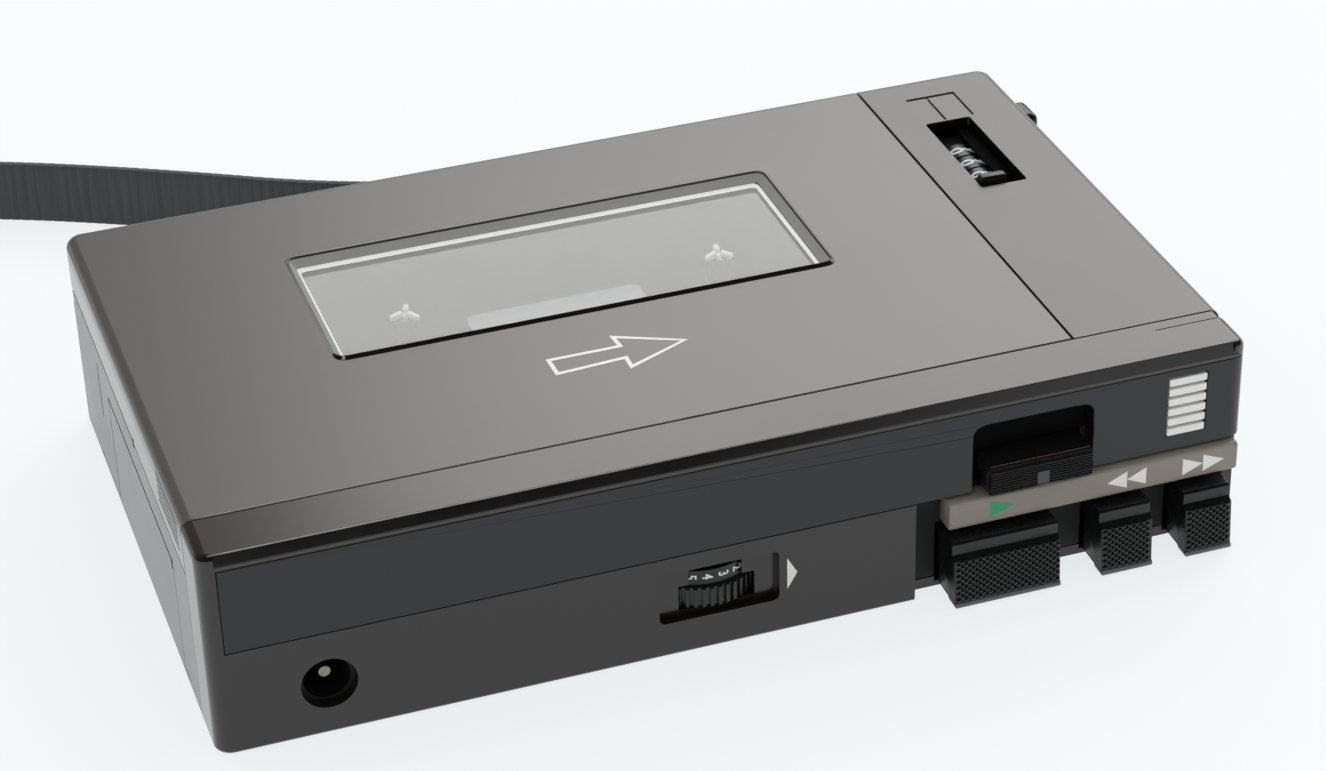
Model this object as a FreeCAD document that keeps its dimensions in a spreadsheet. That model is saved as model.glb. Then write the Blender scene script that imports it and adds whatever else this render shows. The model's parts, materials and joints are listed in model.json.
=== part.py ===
"""Pocket cassette recorder lying on its back, modelled in millimetres.

X runs along the long side towards the tape counter, -Y is the long side with the keys and the
volume wheel, and +Z points out of the cassette door. The origin is the centre of the underside.
"""
import FreeCAD
import Part
import Sketcher
import math
import os
import re

DIMENSIONS = {
    # case
    "case_length": 132.0,
    "case_width": 81.0,
    "case_height": 28.0,
    "wall": 1.4,
    "skin": 1.2,
    "corner_radius": 2.2,
    "edge_radius": 1.5,
    "foot_radius": 0.6,
    "strip_radius": 0.7,
    "seam_gap": 0.3,
    "strip_seam": -32.3,
    "panel_seam": 46.0,
    "skirt_level": 20.8,
    # hinge of the door, along the back wall
    "hinge_back": 39.5,
    "hinge_level": 19.6,
    "barrel_radius": 1.0,
    "pin_radius": 0.5,
    # door window
    "window_left": -40.2,
    "window_right": 25.7,
    "window_front": -3.8,
    "window_back": 23.0,
    "window_corner": 1.6,
    "window_flare": 0.8,
    "glass_margin": 1.6,
    "glass_thickness": 0.9,
    # tape drive
    "reel_left": -28.0,
    "reel_pitch": 42.5,
    "reel_row": 9.6,
    "reel_tip": 24.4,
    "capstan_along": 18.3,
    "capstan_across": -17.6,
    "capstan_radius": 1.0,
    "flywheel_radius": 12.0,
    "drive_gear_radius": 4.0,
    "reel_disc_radius": 6.0,
    "drive_level": 11.6,
    "drive_thickness": 1.2,
    "motor_along": 31.0,
    "motor_across": 26.0,
    "motor_radius": 10.0,
    "pulley_radius": 2.5,
    "belt_level": 2.7,
    "chassis_level": 15.3,
    "chassis_thickness": 0.6,
    # batteries and their lid
    "cell_radius": 7.0,
    "cell_length": 50.5,
    "cell_level": 8.2,
    "bay_front": -26.0,
    "bay_back": 28.0,
    "bay_right": -35.3,
    "lid_height": 16.8,
    "lid_front": -23.2,
    "lid_back": 16.3,
    "lid_gap": 0.15,
    # near side: inset plate, key bay, cue bar and stop button
    "plate_low": 14.3,
    "plate_high": 25.95,
    "plate_thickness": 0.5,
    "facet_low": 26.6,
    "bay_left": 21.9,
    "bay_plane": -38.2,
    "bezel_thickness": 1.0,
    "bar_low": 10.0,
    "bar_high": 13.9,
    "bar_front": -41.4,
    "bar_left": 25.9,
    "bar_right": 64.9,
    "key_low": 1.0,
    "lip_low": 0.45,
    "key_high": 9.1,
    "key_front": -44.4,
    "key_gap": 0.3,
    "play_left": 25.7,
    "play_right": 39.9,
    "rewind_left": 45.4,
    "rewind_right": 52.4,
    "forward_left": 56.9,
    "forward_right": 63.3,
    "stop_left": 30.6,
    "stop_right": 44.2,
    "stop_low": 14.8,
    "stop_high": 18.75,
    "stop_front": -42.9,
    "recess_left": 29.3,
    "recess_right": 45.2,
    "recess_low": 14.3,
    "recess_high": 23.7,
    # volume wheel
    "wheel_along": -3.9,
    "wheel_across": -32.4,
    "wheel_radius": 7.9,
    "dial_radius": 7.3,
    # sockets
    "dc_along": -52.0,
    "dc_level": 7.2,
    "dc_hole_radius": 3.45,
    "jack_level": 10.0,
    "jack_radius": 1.8,
    "earphone_across": -6.0,
    "microphone_across": 6.0,
    # tape counter
    "counter_left": 51.1,
    "counter_right": 57.7,
    "counter_front": 7.5,
    "counter_back": 27.0,
    "drum_radius": 3.3,
    "drum_width": 3.2,
    "drum_pitch": 3.6,
    "drum_start": 13.2,
    "counter_along": 54.4,
    "counter_level": 22.6,
    # strap
    "strap_width": 9.5,
    "strap_thickness": 1.3,
    "strap_along": 55.0,
}

doc = FreeCAD.newDocument("CassetteRecorder")
sheet = doc.addObject("Spreadsheet::Sheet", "Dims")
for row, (alias, number) in enumerate(DIMENSIONS.items(), start=1):
    sheet.set("A%d" % row, str(number))
    sheet.setAlias("A%d" % row, alias)
doc.recompute()

ALIAS = re.compile(r"\b(%s)\b" % "|".join(sorted(DIMENSIONS, key=len, reverse=True)))
NODES = {}


def dim(alias):
    """Reads one driving dimension back from the sheet."""
    return float(getattr(sheet, alias))


def bind(item, target, expression):
    """Binds a property to an expression in which sheet aliases stand for themselves."""
    item.setExpression(target, ALIAS.sub(r"Dims.\1", str(expression)))


def node(name, item):
    """Names a finished sub-part."""
    item.Label = name
    NODES[name] = item
    return item


def brick(name, low, high):
    """A box between two corners, each given as three expressions."""
    item = doc.addObject("Part::Box", name)
    for axis, start in zip("xyz", low):
        bind(item, "Placement.Base." + axis, start)
    for side, start, end in zip(("Length", "Width", "Height"), low, high):
        bind(item, side, "(%s) - (%s)" % (end, start))
    return item


TURNS = {
    "z": FreeCAD.Rotation(),
    "x": FreeCAD.Rotation(FreeCAD.Vector(0, 1, 0), 90),
    "y": FreeCAD.Rotation(FreeCAD.Vector(1, 0, 0), -90),
}


def rod(name, start, radius, length, axis="z"):
    """A round bar from a start point along one of the axes."""
    item = doc.addObject("Part::Cylinder", name)
    item.Placement = FreeCAD.Placement(FreeCAD.Vector(), TURNS[axis])
    for letter, place in zip("xyz", start):
        bind(item, "Placement.Base." + letter, place)
    bind(item, "Radius", radius)
    bind(item, "Height", length)
    return item


def fuse(name, *items):
    """Joins solids into one."""
    item = doc.addObject("Part::MultiFuse", name)
    item.Shapes = list(items)
    return item


def cut(name, base, *tools):
    """Takes one or more tools away from a base."""
    item = doc.addObject("Part::Cut", name)
    item.Base = base
    item.Tool = tools[0] if len(tools) == 1 else fuse(name + "_tools", *tools)
    return item


def common(name, first, second):
    """Keeps what two solids share."""
    item = doc.addObject("Part::Common", name)
    item.Base = first
    item.Tool = second
    return item


def group(name, *items):
    """Keeps several separate solids together as one sub-part."""
    item = doc.addObject("Part::Compound", name)
    item.Links = list(items)
    return item


def dressed(kind, name, base, choose):
    """Dresses the edges of a solid; choose gives an edge's size, or None to leave it sharp."""
    doc.recompute()
    item = doc.addObject(kind, name)
    item.Base = base
    sizes = [(number, choose(edge)) for number, edge in enumerate(base.Shape.Edges, start=1)]
    item.Edges = [(number, size, size) for number, size in sizes if size]
    return item


def rounded(name, base, choose):
    """Rounds edges; choose gives each edge's radius."""
    return dressed("Part::Fillet", name, base, choose)


def chamfered(name, base, choose):
    """Bevels edges; choose gives how far each bevel reaches."""
    return dressed("Part::Chamfer", name, base, choose)


def edge_span(edge):
    """The extent of an edge along X, Y and Z, and its middle."""
    box = edge.BoundBox
    return (box.XLength, box.YLength, box.ZLength), box.Center


def upright_corners(radius):
    """Chooses the edges along Z."""
    def choose(edge):
        return radius if edge_span(edge)[0][2] > 1 else None
    return choose


def upper_corners(radius, level):
    """Chooses the edges along Y above a level, as for the top corners of a recess."""
    def choose(edge):
        span, middle = edge_span(edge)
        return radius if span[1] > 1 and middle.z > level else None
    return choose


def origin_plane(body, role):
    """A body's own origin plane, found by its role."""
    return next(item for item in body.Origin.OriginFeatures if item.Role == role)


def sketch_on(body, name, role, points, offset="0"):
    """A closed polygon sketch on one of the body's planes, each corner bound to two expressions."""
    sketch = body.newObject("Sketcher::SketchObject", name)
    sketch.AttachmentSupport = [(origin_plane(body, role), "")]
    sketch.MapMode = "FlatFace"
    bind(sketch, "AttachmentOffset.Base.z", offset)
    rough = [(math.cos(2 * math.pi * n / len(points)), math.sin(2 * math.pi * n / len(points)))
             for n in range(len(points))]
    for here, after in zip(rough, rough[1:] + rough[:1]):
        sketch.addGeometry(Part.LineSegment(FreeCAD.Vector(*here, 0), FreeCAD.Vector(*after, 0)))
    for number in range(len(points)):
        following = (number + 1) % len(points)
        sketch.addConstraint(Sketcher.Constraint("Coincident", number, 2, following, 1))
    for number, corner in enumerate(points):
        for kind, letter, place in zip(("DistanceX", "DistanceY"), "uv", corner):
            index = sketch.addConstraint(Sketcher.Constraint(kind, -1, 1, number, 1, 1.0))
            sketch.renameConstraint(index, "%s%d" % (letter, number))
            bind(sketch, "Constraints.%s%d" % (letter, number), place)
    return sketch


def pad(name, role, points, low, high):
    """A polygon drawn on a plane and padded between two levels along that plane's normal."""
    body = doc.addObject("PartDesign::Body", name)
    sketch = sketch_on(body, name + "_outline", role, points, low)
    feature = body.newObject("PartDesign::Pad", name + "_pad")
    feature.Profile = sketch
    bind(feature, "Length", "(%s) - (%s)" % (high, low))
    body.Tip = feature
    return body


def turned(name, profile, centre):
    """A profile of radius and level pairs turned about an upright axis through the centre."""
    body = doc.addObject("PartDesign::Body", name)
    sketch = sketch_on(body, name + "_profile", "XZ_Plane", profile)
    feature = body.newObject("PartDesign::Revolution", name + "_turn")
    feature.Profile = sketch
    feature.ReferenceAxis = (sketch, ["V_Axis"])
    feature.Angle = 360
    body.Tip = feature
    bind(body, "Placement.Base.x", centre[0])
    bind(body, "Placement.Base.y", centre[1])
    return body


def ring(name, inner, outer, low, high, centre):
    """A turned ring, washer or tube."""
    return turned(name, ((inner, low), (outer, low), (outer, high), (inner, high)), centre)


def around(body, name, feature, count):
    """Repeats a feature of a body around its upright axis."""
    pattern = body.newObject("PartDesign::PolarPattern", name)
    pattern.Originals = [feature]
    axis = next(item for item in body.Origin.OriginFeatures if item.Role == "Z_Axis")
    pattern.Axis = (axis, [""])
    pattern.Angle = 360
    pattern.Occurrences = count
    body.Tip = pattern
    return pattern


FAR = "200"
LEFT = "-case_length / 2"
RIGHT = "case_length / 2"
NEAR = "-case_width / 2"
BACK = "case_width / 2"


def case_shell():
    """The hollow case before it is parted: rounded outside, with an even wall inside."""
    block = brick("case_block", (LEFT, NEAR, "0"), (RIGHT, BACK, "case_height"))
    height = dim("case_height")

    def outside(edge):
        (along_x, along_y, along_z), middle = edge_span(edge)
        if along_z > 1:
            return dim("corner_radius")
        if middle.z < height / 2:
            return dim("foot_radius")
        near = along_x > 1 and middle.y < 0
        return dim("strip_radius") if near else dim("edge_radius")

    outer = rounded("case_outer", block, outside)
    hollow = brick(
        "case_hollow",
        (LEFT + " + wall", NEAR + " + wall", "wall"),
        (RIGHT + " - wall", BACK + " - wall", "case_height - skin"),
    )
    inner = rounded("case_inner", hollow, upright_corners(dim("corner_radius") - dim("wall")))
    return cut("case_shell", outer, inner)


def zone(name, low, high):
    """A block that picks one piece of the case; a None side lies well outside the case."""
    start = ["-" + FAR if place is None else place for place in low]
    end = [FAR if place is None else place for place in high]
    return brick(name, start, end)


SHELL = case_shell()
DOOR_KNUCKLES = (("-63.0", "-40.0"), ("-30.0", "-10.0"), ("-5.0", "10.0"), ("20.0", "45.6"))
CASE_KNUCKLES = (("-39.7", "-30.3"), ("10.3", "19.7"))
POSTS = (("-61.5", "34.0"), ("42.6", "35.4"), ("43.0", "-28.6"), ("-61.2", "-29.6"))


def barrels(prefix, spans, tab_low, tab_high):
    """Hinge knuckles: a round barrel on each span with a tab that joins it to its wall."""
    items = []
    for number, (start, end) in enumerate(spans):
        name = "%s_%d" % (prefix, number)
        length = "(%s) - (%s)" % (end, start)
        items.append(rod(name, (start, "hinge_back", "hinge_level"), "barrel_radius", length, "x"))
        items.append(brick(name + "_tab", (start, BACK + " - wall", tab_low), (end, BACK, tab_high)))
    return items


def pin_bore(name, radius):
    """The long hole that the hinge pin runs in."""
    return rod(name, ("-64", "hinge_back", "hinge_level"), radius, "110.5", "x")


def make_door():
    """Cassette door: top skin with left and back skirts, hinge knuckles, window and latch hook."""
    skin = common("door_skin", SHELL, zone(
        "door_zone",
        (None, "strip_seam + seam_gap / 2", "skirt_level + 0.1"),
        ("panel_seam - seam_gap / 2", None, None),
    ))
    hook = pad("door_hook", "YZ_Plane", (
        ("-31.6", "19.8"), ("-30.6", "19.8"), ("-30.6", "case_height - skin + 0.2"),
        ("-31.6", "case_height - skin + 0.2"), ("-31.6", "21.6"), ("-32.1", "21.2"),
        ("-32.1", "20.6"),
    ), "33", "38")
    stiffener = brick("door_stiffener", ("-63", "-31.9", "25.6"), ("32", "-31.1", "case_height - 1"))
    knuckles = barrels("door_barrel", DOOR_KNUCKLES, "hinge_level", "skirt_level + 0.6")
    whole = fuse("door_whole", skin, hook, stiffener, *knuckles)
    flare = dim("window_flare")
    mouth_level = dim("case_height") - dim("skin") + 0.15
    opening = rounded(
        "window_opening",
        brick("window_block", ("window_left + window_flare", "window_front + window_flare", "20"),
              ("window_right - window_flare", "window_back - window_flare", "40")),
        upright_corners(dim("window_corner") - flare),
    )
    mouth = rounded(
        "window_mouth",
        brick("window_mouth_block", ("window_left", "window_front", mouth_level),
              ("window_right", "window_back", "40")),
        upright_corners(dim("window_corner")),
    )
    flared = chamfered("window_flared", mouth,
                       lambda edge: flare if edge.BoundBox.ZMax < mouth_level + 0.1 else None)
    grips = [brick("door_grip_%d" % n, ("-70", "-30", "22.6 + 0.9 * %d" % n),
                   (LEFT + " + 0.25", "-18.3", "22.9 + 0.9 * %d" % n)) for n in range(5)]
    dent = brick("door_dent", ("-70", "-2.5", "20"), (LEFT + " + 0.3", "-1.8", "21.4"))
    node("cassette_door", cut("door_cut", whole, opening, flared, dent,
                              pin_bore("door_bore", "pin_radius + 0.05"), *grips))
    node("door_window", brick(
        "door_window_glass",
        ("window_left - glass_margin", "window_front - glass_margin",
         "case_height - skin - glass_thickness"),
        ("window_right + glass_margin", "window_back + glass_margin", "case_height - skin"),
    ))
    rails = [
        brick("guide_left", ("-58.8", "-22", "17.6"), ("-57.5", "30", "case_height - skin")),
        brick("guide_right", ("44.0", "-22", "17.6"), ("45.2", "30", "case_height - skin")),
    ]
    node("cassette_guides", group("cassette_guides_pair", *rails))
    leaves = [
        pad("leaf_%d" % number, "YZ_Plane", (
            ("27.0", "case_height - skin - 0.35"), ("37.0", "case_height - skin - 0.35"),
            ("37.0", "case_height - skin"), ("34.0", "case_height - skin"),
            ("27.0", "case_height - skin"),
        ), start, end)
        for number, (start, end) in enumerate((("-52", "-45"), ("31", "38")))
    ]
    node("cassette_springs", group("cassette_springs_pair", *leaves))
    node("door_hinge_pin", rod("hinge_pin", ("-62.8", "hinge_back", "hinge_level"), "pin_radius",
                               "108.2", "x"))
    coil = rod("spring_coil", ("-9.6", "hinge_back", "hinge_level"), "barrel_radius - 0.1", "4.2", "x")
    leg = brick("spring_leg", ("-9.6", "hinge_back - 0.95", "15.95"),
                ("-9.0", "hinge_back - 0.45", "hinge_level"))
    node("door_spring", cut("door_spring_cut", fuse("door_spring_joined", coil, leg),
                            pin_bore("spring_bore", "pin_radius + 0.05")))


def make_rear_cover():
    """Rear cover: floor and low walls, battery bay, screw posts, hinge knuckles and grille slots."""
    low_part = common("rear_low", SHELL, zone(
        "rear_zone",
        (None, "strip_seam - 0.05", None),
        (None, None, "skirt_level - 0.1"),
    ))
    back_drop = zone(
        "back_wall_drop",
        (None, "38.0", "hinge_level - barrel_radius - 0.3"),
        ("panel_seam + seam_gap / 2", None, None),
    )
    posts = [rod("post_%d" % n, (x, y, "0.8"), "2.2", "chassis_level - 0.8")
             for n, (x, y) in enumerate(POSTS)]
    bay_walls = [
        brick("bay_wall_front", (LEFT + " + wall", "bay_front - 1", "1"),
              ("bay_right + 1", "bay_front", "chassis_level - 0.2")),
        brick("bay_wall_back", (LEFT + " + wall", "bay_back", "1"),
              ("bay_right + 1", "bay_back + 1", "chassis_level - 0.2")),
        brick("bay_wall_right", ("bay_right", "bay_front - 1", "1"),
              ("bay_right + 1", "bay_back + 1", "chassis_level - 0.2")),
    ]
    stands = [rod("stand_%d" % n, (x, y, "1"), "1.5", "2.2")
              for n, (x, y) in enumerate((("-31", "-12"), ("2", "-12"), ("-31", "0.5"), ("2", "0.5")))]
    strap_post = rod("strap_post", ("strap_along", "36.9", "1"), "0.85", "11.5")
    knuckles = barrels("case_barrel", CASE_KNUCKLES, "hinge_level - barrel_radius - 1", "hinge_level")
    body = fuse("rear_joined", cut("rear_walls", low_part, back_drop), *posts, *bay_walls, *stands,
                strap_post, *knuckles)
    lid_holes = [
        brick("lid_hole_floor", ("-100", "bay_front", "-1"), ("bay_right", "bay_back", "wall + lid_gap")),
        brick("lid_hole_end", ("-100", "lid_front", "-1"),
              (LEFT + " + wall + 0.1", "lid_back", "lid_height")),
        brick("end_slit", ("-70", "22.6", "9.8"), (LEFT + " + 0.5", "23.05", "18")),
        brick("end_dent", ("-70", "-2.5", "20"), (LEFT + " + 0.3", "-1.8", "21.4")),
    ]
    slots = [
        brick("grille_slot_%d" % n, ("-19", "%g" % (9 + 2.6 * n), "-1"), ("3", "%g" % (10.2 + 2.6 * n), "3"))
        for n in range(10)
    ]
    holes = []
    for n, (x, y) in enumerate(POSTS):
        holes.append(rod("foot_hole_%d" % n, (x, y, "-1"), "1.9", "2.6"))
        holes.append(rod("screw_hole_%d" % n, (x, y, "-1"), "1.0", "30"))
    strap_slot = brick("strap_slot", ("strap_along - 1.3", "37", "wall + 0.2"),
                       ("strap_along + 1.3", "50", "wall + strap_width + 1.2"))
    sockets = [rod("ear_hole", ("60", "earphone_across", "jack_level"), "3.1", "10", "x"),
               rod("mic_hole", ("60", "microphone_across", "jack_level"), "3.1", "10", "x")]
    node("rear_cover", cut("rear_cut", body, *lid_holes, strap_slot, pin_bore("case_bore", "pin_radius"),
                           *slots, *holes, *sockets))


def make_battery_lid():
    """Battery lid: a floor plate and a narrower end wall in one piece that slides off the end."""
    floor = zone("lid_floor_zone", (None, "bay_front + lid_gap", None),
                 ("bay_right - lid_gap", "bay_back - lid_gap", "wall"))
    end = zone("lid_end_zone", (None, "lid_front + lid_gap", None),
               (LEFT + " + wall", "lid_back - lid_gap", "lid_height - 3 * lid_gap"))
    piece = common("lid_piece", SHELL, fuse("lid_zones", floor, end))
    thinning = brick("lid_thinning", (LEFT + " + wall", "bay_front", "0.9"), ("bay_right", "bay_back", "5"))
    grips = []
    for number in range(5):
        start = "-58 + 1.6 * %d" % number
        grips.append(brick("lid_grip_%d" % number, (start, "-8", "-1"), (start + " + 0.8", "10", "0.3")))
    nick = brick("lid_nick", ("-70", "-22.7", "15.2"), (LEFT + " + 0.5", "-22.1", "20"))
    node("battery_lid", cut("lid_cut", piece, thinning, nick, *grips))


def make_front_frame():
    """Front frame: top strip and near wall in one channel, opened for the keys and controls."""
    channel = common("frame_channel", SHELL, zone(
        "frame_zone", (None, None, None), (None, "strip_seam - seam_gap / 2", None)))
    rib = brick("frame_rib", ("-64", "strip_seam - 1.3", "17"), ("64", "strip_seam - 0.4", "case_height - 1"))
    step = brick("bay_step", ("bay_left - 1.2", NEAR + " + 0.2", "1"),
                 ("bay_left", "bay_plane + 1", "plate_low"))
    pan = brick("recess_pan", ("recess_left - 1.2", NEAR + " + 0.7", "recess_low"),
                ("recess_right + 1.2", "bay_plane + 0.9", "recess_high + 1.1"))
    dial_pan = brick("dial_pan", ("-12.3", NEAR + " + 0.7", "4.4"), ("5.1", "-38.7", "13.0"))
    body = fuse("frame_joined", channel, rib, step, pan, dial_pan)
    tools = [
        brick("key_bay", ("bay_left", "-60", "-1"), ("80", "bay_plane", "plate_low")),
        brick("key_bay_inner", ("bay_left", "-60", "wall + 0.1"),
              (RIGHT + " - wall - 0.1", "-36.9", "plate_low")),
        brick("plate_pocket", ("-63.9", "-60", "plate_low"),
              ("80", NEAR + " + plate_thickness", "plate_high")),
        rounded(
            "stop_recess",
            brick("stop_recess_block", ("recess_left", "-60", "recess_low"),
                  ("recess_right", "bay_plane", "recess_high")),
            upper_corners(1.5, 20),
        ),
        brick("stop_slot", ("stop_left - key_gap", "-60", "stop_low - key_gap"),
              ("stop_right + key_gap", "-30", "stop_high + key_gap")),
        rounded(
            "dial_recess",
            brick("dial_recess_block", ("-11.3", "-60", "4.9"), ("4.1", NEAR + " + 1.2", "12.05")),
            upper_corners(0.8, 0),
        ),
        brick("dial_slot", ("-8.45", "-60", "5.6"), ("1.3", "-30", "9.1")),
        brick("dial_slot_upper", ("-6.9", "-60", "9.0"), ("-0.3", "-30", "11.45")),
        rod("wheel_room", ("wheel_along", "wheel_across", "5.6"), "wheel_radius + 0.3", "3.5"),
        rod("dial_room", ("wheel_along", "wheel_across", "9"), "dial_radius + 0.3", "2.45"),
        rod("dc_hole", ("dc_along", "-60", "dc_level"), "dc_hole_radius", "22", "y"),
        brick("mic_port", ("55.2", "-60", "16.4"), ("60.5", NEAR + " + 0.9", "24.8")),
        brick("corner_notch", (RIGHT + " - 1.2", "-34.2", "case_height - 1.1"), ("80", "-32", "40")),
        brick("corner_line", ("56.2", "-34.2", "case_height - 0.15"), ("65", "-34.02", "40")),
    ]
    for number in range(5):
        low = "17.46 + 1.43 * %d" % number
        tools.append(brick("mic_slot_%d" % number, ("56", "-60", low), ("59.7", "-39", low + " + 0.5")))
    for name, left, right in KEYS:
        tools.append(brick(name + "_well", (left + " - key_gap", "-39", "key_low - key_gap"),
                           (right + " + key_gap", "-30", "wall + 0.1")))
    facet = pad("frame_facet", "YZ_Plane", (
        ("-46", "facet_low"), (NEAR, "facet_low"), (NEAR + " + 0.47", "case_height + 0.01"),
        (NEAR + " + 0.47", "case_height + 1"), ("-46", "case_height + 1"),
    ), "-64", "64")
    node("front_frame", cut("frame_cut", body, facet, *tools))
    plate = common("side_plate_outline", SHELL, brick(
        "side_plate_block", ("-63.8", "-60", "plate_low + 0.05"),
        (RIGHT, NEAR + " + plate_thickness", "plate_high - 0.05")))
    node("side_plate", cut(
        "side_plate_cut", plate,
        rounded("plate_stop_hole", brick("plate_stop_block", ("recess_left", "-60", "-5"),
                                         ("recess_right", "0", "recess_high")), upper_corners(1.5, 20)),
        brick("plate_mic_hole", ("55.2", "-60", "16.5"), ("60.5", "0", "24.9")),
    ))
    bars = []
    for number in range(6):
        low = "16.5 + 1.43 * %d" % number
        bars.append(brick("mic_bar_%d" % number, ("55.3", NEAR + " - 0.05", low),
                          ("60.4", NEAR + " + 0.9", low + " + 0.96")))
    node("microphone_grille", group("mic_bar_set", *bars))


def make_top_panel():
    """Fixed panel beside the door, with the counter opening and the wall that closes the well."""
    skin = common("panel_skin", SHELL, zone(
        "panel_zone",
        ("panel_seam + seam_gap / 2", "strip_seam + seam_gap / 2", "skirt_level + 0.1"),
        (None, None, None),
    ))
    well_wall = brick("well_wall", ("panel_seam + 0.4", "-31.6", "16.3"),
                      ("panel_seam + 1.3", "38.6", "case_height - 1"))
    counter_hole = rounded(
        "counter_hole",
        brick("counter_block", ("counter_left", "counter_front", "20"),
              ("counter_right", "counter_back", "40")),
        upright_corners(0.5),
    )
    record_hole = brick("record_hole", ("60", "26.5", "22.1"), ("80", "32.5", "26.6"))
    level = "case_height - 0.25"
    lines = [
        brick("line_across", ("51.4", "34.1", level), ("58.6", "34.7", "40")),
        brick("line_outer", ("58.2", "counter_back + 0.3", level), ("58.6", "34.6", "40")),
        brick("line_inner", ("54.1", "counter_back + 0.3", level), ("54.5", "34.6", "40")),
    ]
    node("top_panel", cut("panel_cut", fuse("panel_joined", skin, well_wall), counter_hole, record_hole,
                          *lines))


def make_counter():
    """Tape counter: frame, shaft, three numbered drums and the reset button, open to the top."""
    cheeks = [brick("cheek_%d" % n, ("counter_along - 4.6", y, "17"),
                    ("counter_along + 4.6", y + " + 0.8", "25.4"))
              for n, y in enumerate(("12.1", "24.2"))]
    sides = [brick("counter_side_%d" % n, (x, "12.1", "17"), (x + " + 0.7", "25", "case_height - skin"))
             for n, x in enumerate(("counter_along - 5.2", "counter_along + 4.5"))]
    base = brick("counter_base", ("counter_along - 5", "12.1", "17"), ("counter_along + 5", "25.0", "17.8"))
    ledge = brick("counter_ledge", ("counter_along - 4.6", "24.2", "24.6"),
                  ("counter_along + 4.6", "26.8", "25.4"))
    bores = rod("counter_bore", ("counter_along", "0", "counter_level"), "0.82", "40", "y")
    joined = fuse("counter_frame_joined", base, ledge, *cheeks, *sides)
    node("counter_frame", cut("counter_frame_cut", joined, bores))
    node("counter_shaft", rod("counter_shaft_rod", ("counter_along", "11.9", "counter_level"), "0.8",
                              "13.4", "y"))
    for number, place in enumerate(("units", "tens", "hundreds")):
        start = "drum_start + %d * drum_pitch" % number
        drum = rod("drum_%s" % place, ("counter_along", start, "counter_level"), "drum_radius",
                   "drum_width", "y")
        hole = rod("drum_hole_%s" % place, ("counter_along", "0", "counter_level"), "0.86", "40", "y")
        node("counter_drum_" + place, cut("drum_cut_" + place, drum, hole))
    stem = brick("reset_stem", ("counter_along - 1.2", "8.4", "19.5"), ("counter_along + 1.2", "10.4", "26"))
    cap = brick("reset_cap", ("counter_left + 0.2", "counter_front + 0.7", "25.2"),
                ("55.9", "10.6", "case_height + 0.9"))
    top_edges = rounded("reset_cap_round", cap, lambda edge: 0.4 if edge_span(edge)[1].z > 27 else None)
    node("counter_reset_button", fuse("reset_joined", stem, top_edges))


def make_key_group():
    """Key bezel, cue bar, the three keys and the stop button."""
    bezel = brick("bezel_block", ("bay_left + 0.1", "bay_plane", "wall + 0.15"),
                  (RIGHT + " - wall - 0.15", "bay_plane + bezel_thickness", "plate_low - 0.1"))
    openings = []
    for name, left, right in KEYS:
        openings.append(brick(name + "_opening", (left + " - key_gap", "-60", "-1"),
                              (right + " + key_gap", "0", "key_high + key_gap")))
    node("key_bezel", cut("bezel_cut", bezel, *openings))
    bar = pad("cue_bar_profile", "YZ_Plane", (
        ("bay_plane", "bar_low"), ("bar_front + 0.3", "bar_low"), ("bar_front", "bar_low + 0.3"),
        ("bar_front", "bar_high - 0.5"), ("bar_front + 0.5", "bar_high"), ("bay_plane", "bar_high"),
    ), "bar_left", "bar_right")
    node("cue_bar", bar)
    for name, left, right in KEYS:
        block = pad(name + "_profile", "YZ_Plane", (
            ("-35.6", "key_low"), ("key_front + 2.6", "key_low"), ("key_front + 2.3", "lip_low"),
            ("key_front + 0.2", "lip_low"), ("key_front", "lip_low + 0.3"), ("key_front + 0.5", "7.0"),
            ("key_front + 1.5", "7.4"), ("key_front + 1.5", "key_high - 0.3"),
            ("key_front + 1.8", "key_high"), ("-35.6", "key_high"),
        ), left, right)
        lever = brick(name + "_lever", ("(%s + %s) / 2 - 1.5" % (left, right), "-35.8", "5.6"),
                      ("(%s + %s) / 2 + 1.5" % (left, right), "-26.0", "8.6"))
        node(name, fuse(name + "_joined", block, lever))
    front = pad("stop_profile", "YZ_Plane", (
        ("-34.6", "stop_low"), ("stop_front", "stop_low"), ("stop_front", "stop_high - 0.3"),
        ("stop_front + 0.3", "stop_high"), ("-34.6", "stop_high"),
    ), "stop_left", "stop_right")
    lever = brick("stop_lever", ("36.0", "-34.8", "16.6"), ("39.0", "-31.0", "18.6"))
    node("stop_button", fuse("stop_joined", front, lever))


KEYS = (
    ("play_key", "play_left", "play_right"),
    ("rewind_key", "rewind_left", "rewind_right"),
    ("forward_key", "forward_left", "forward_right"),
)


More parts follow.
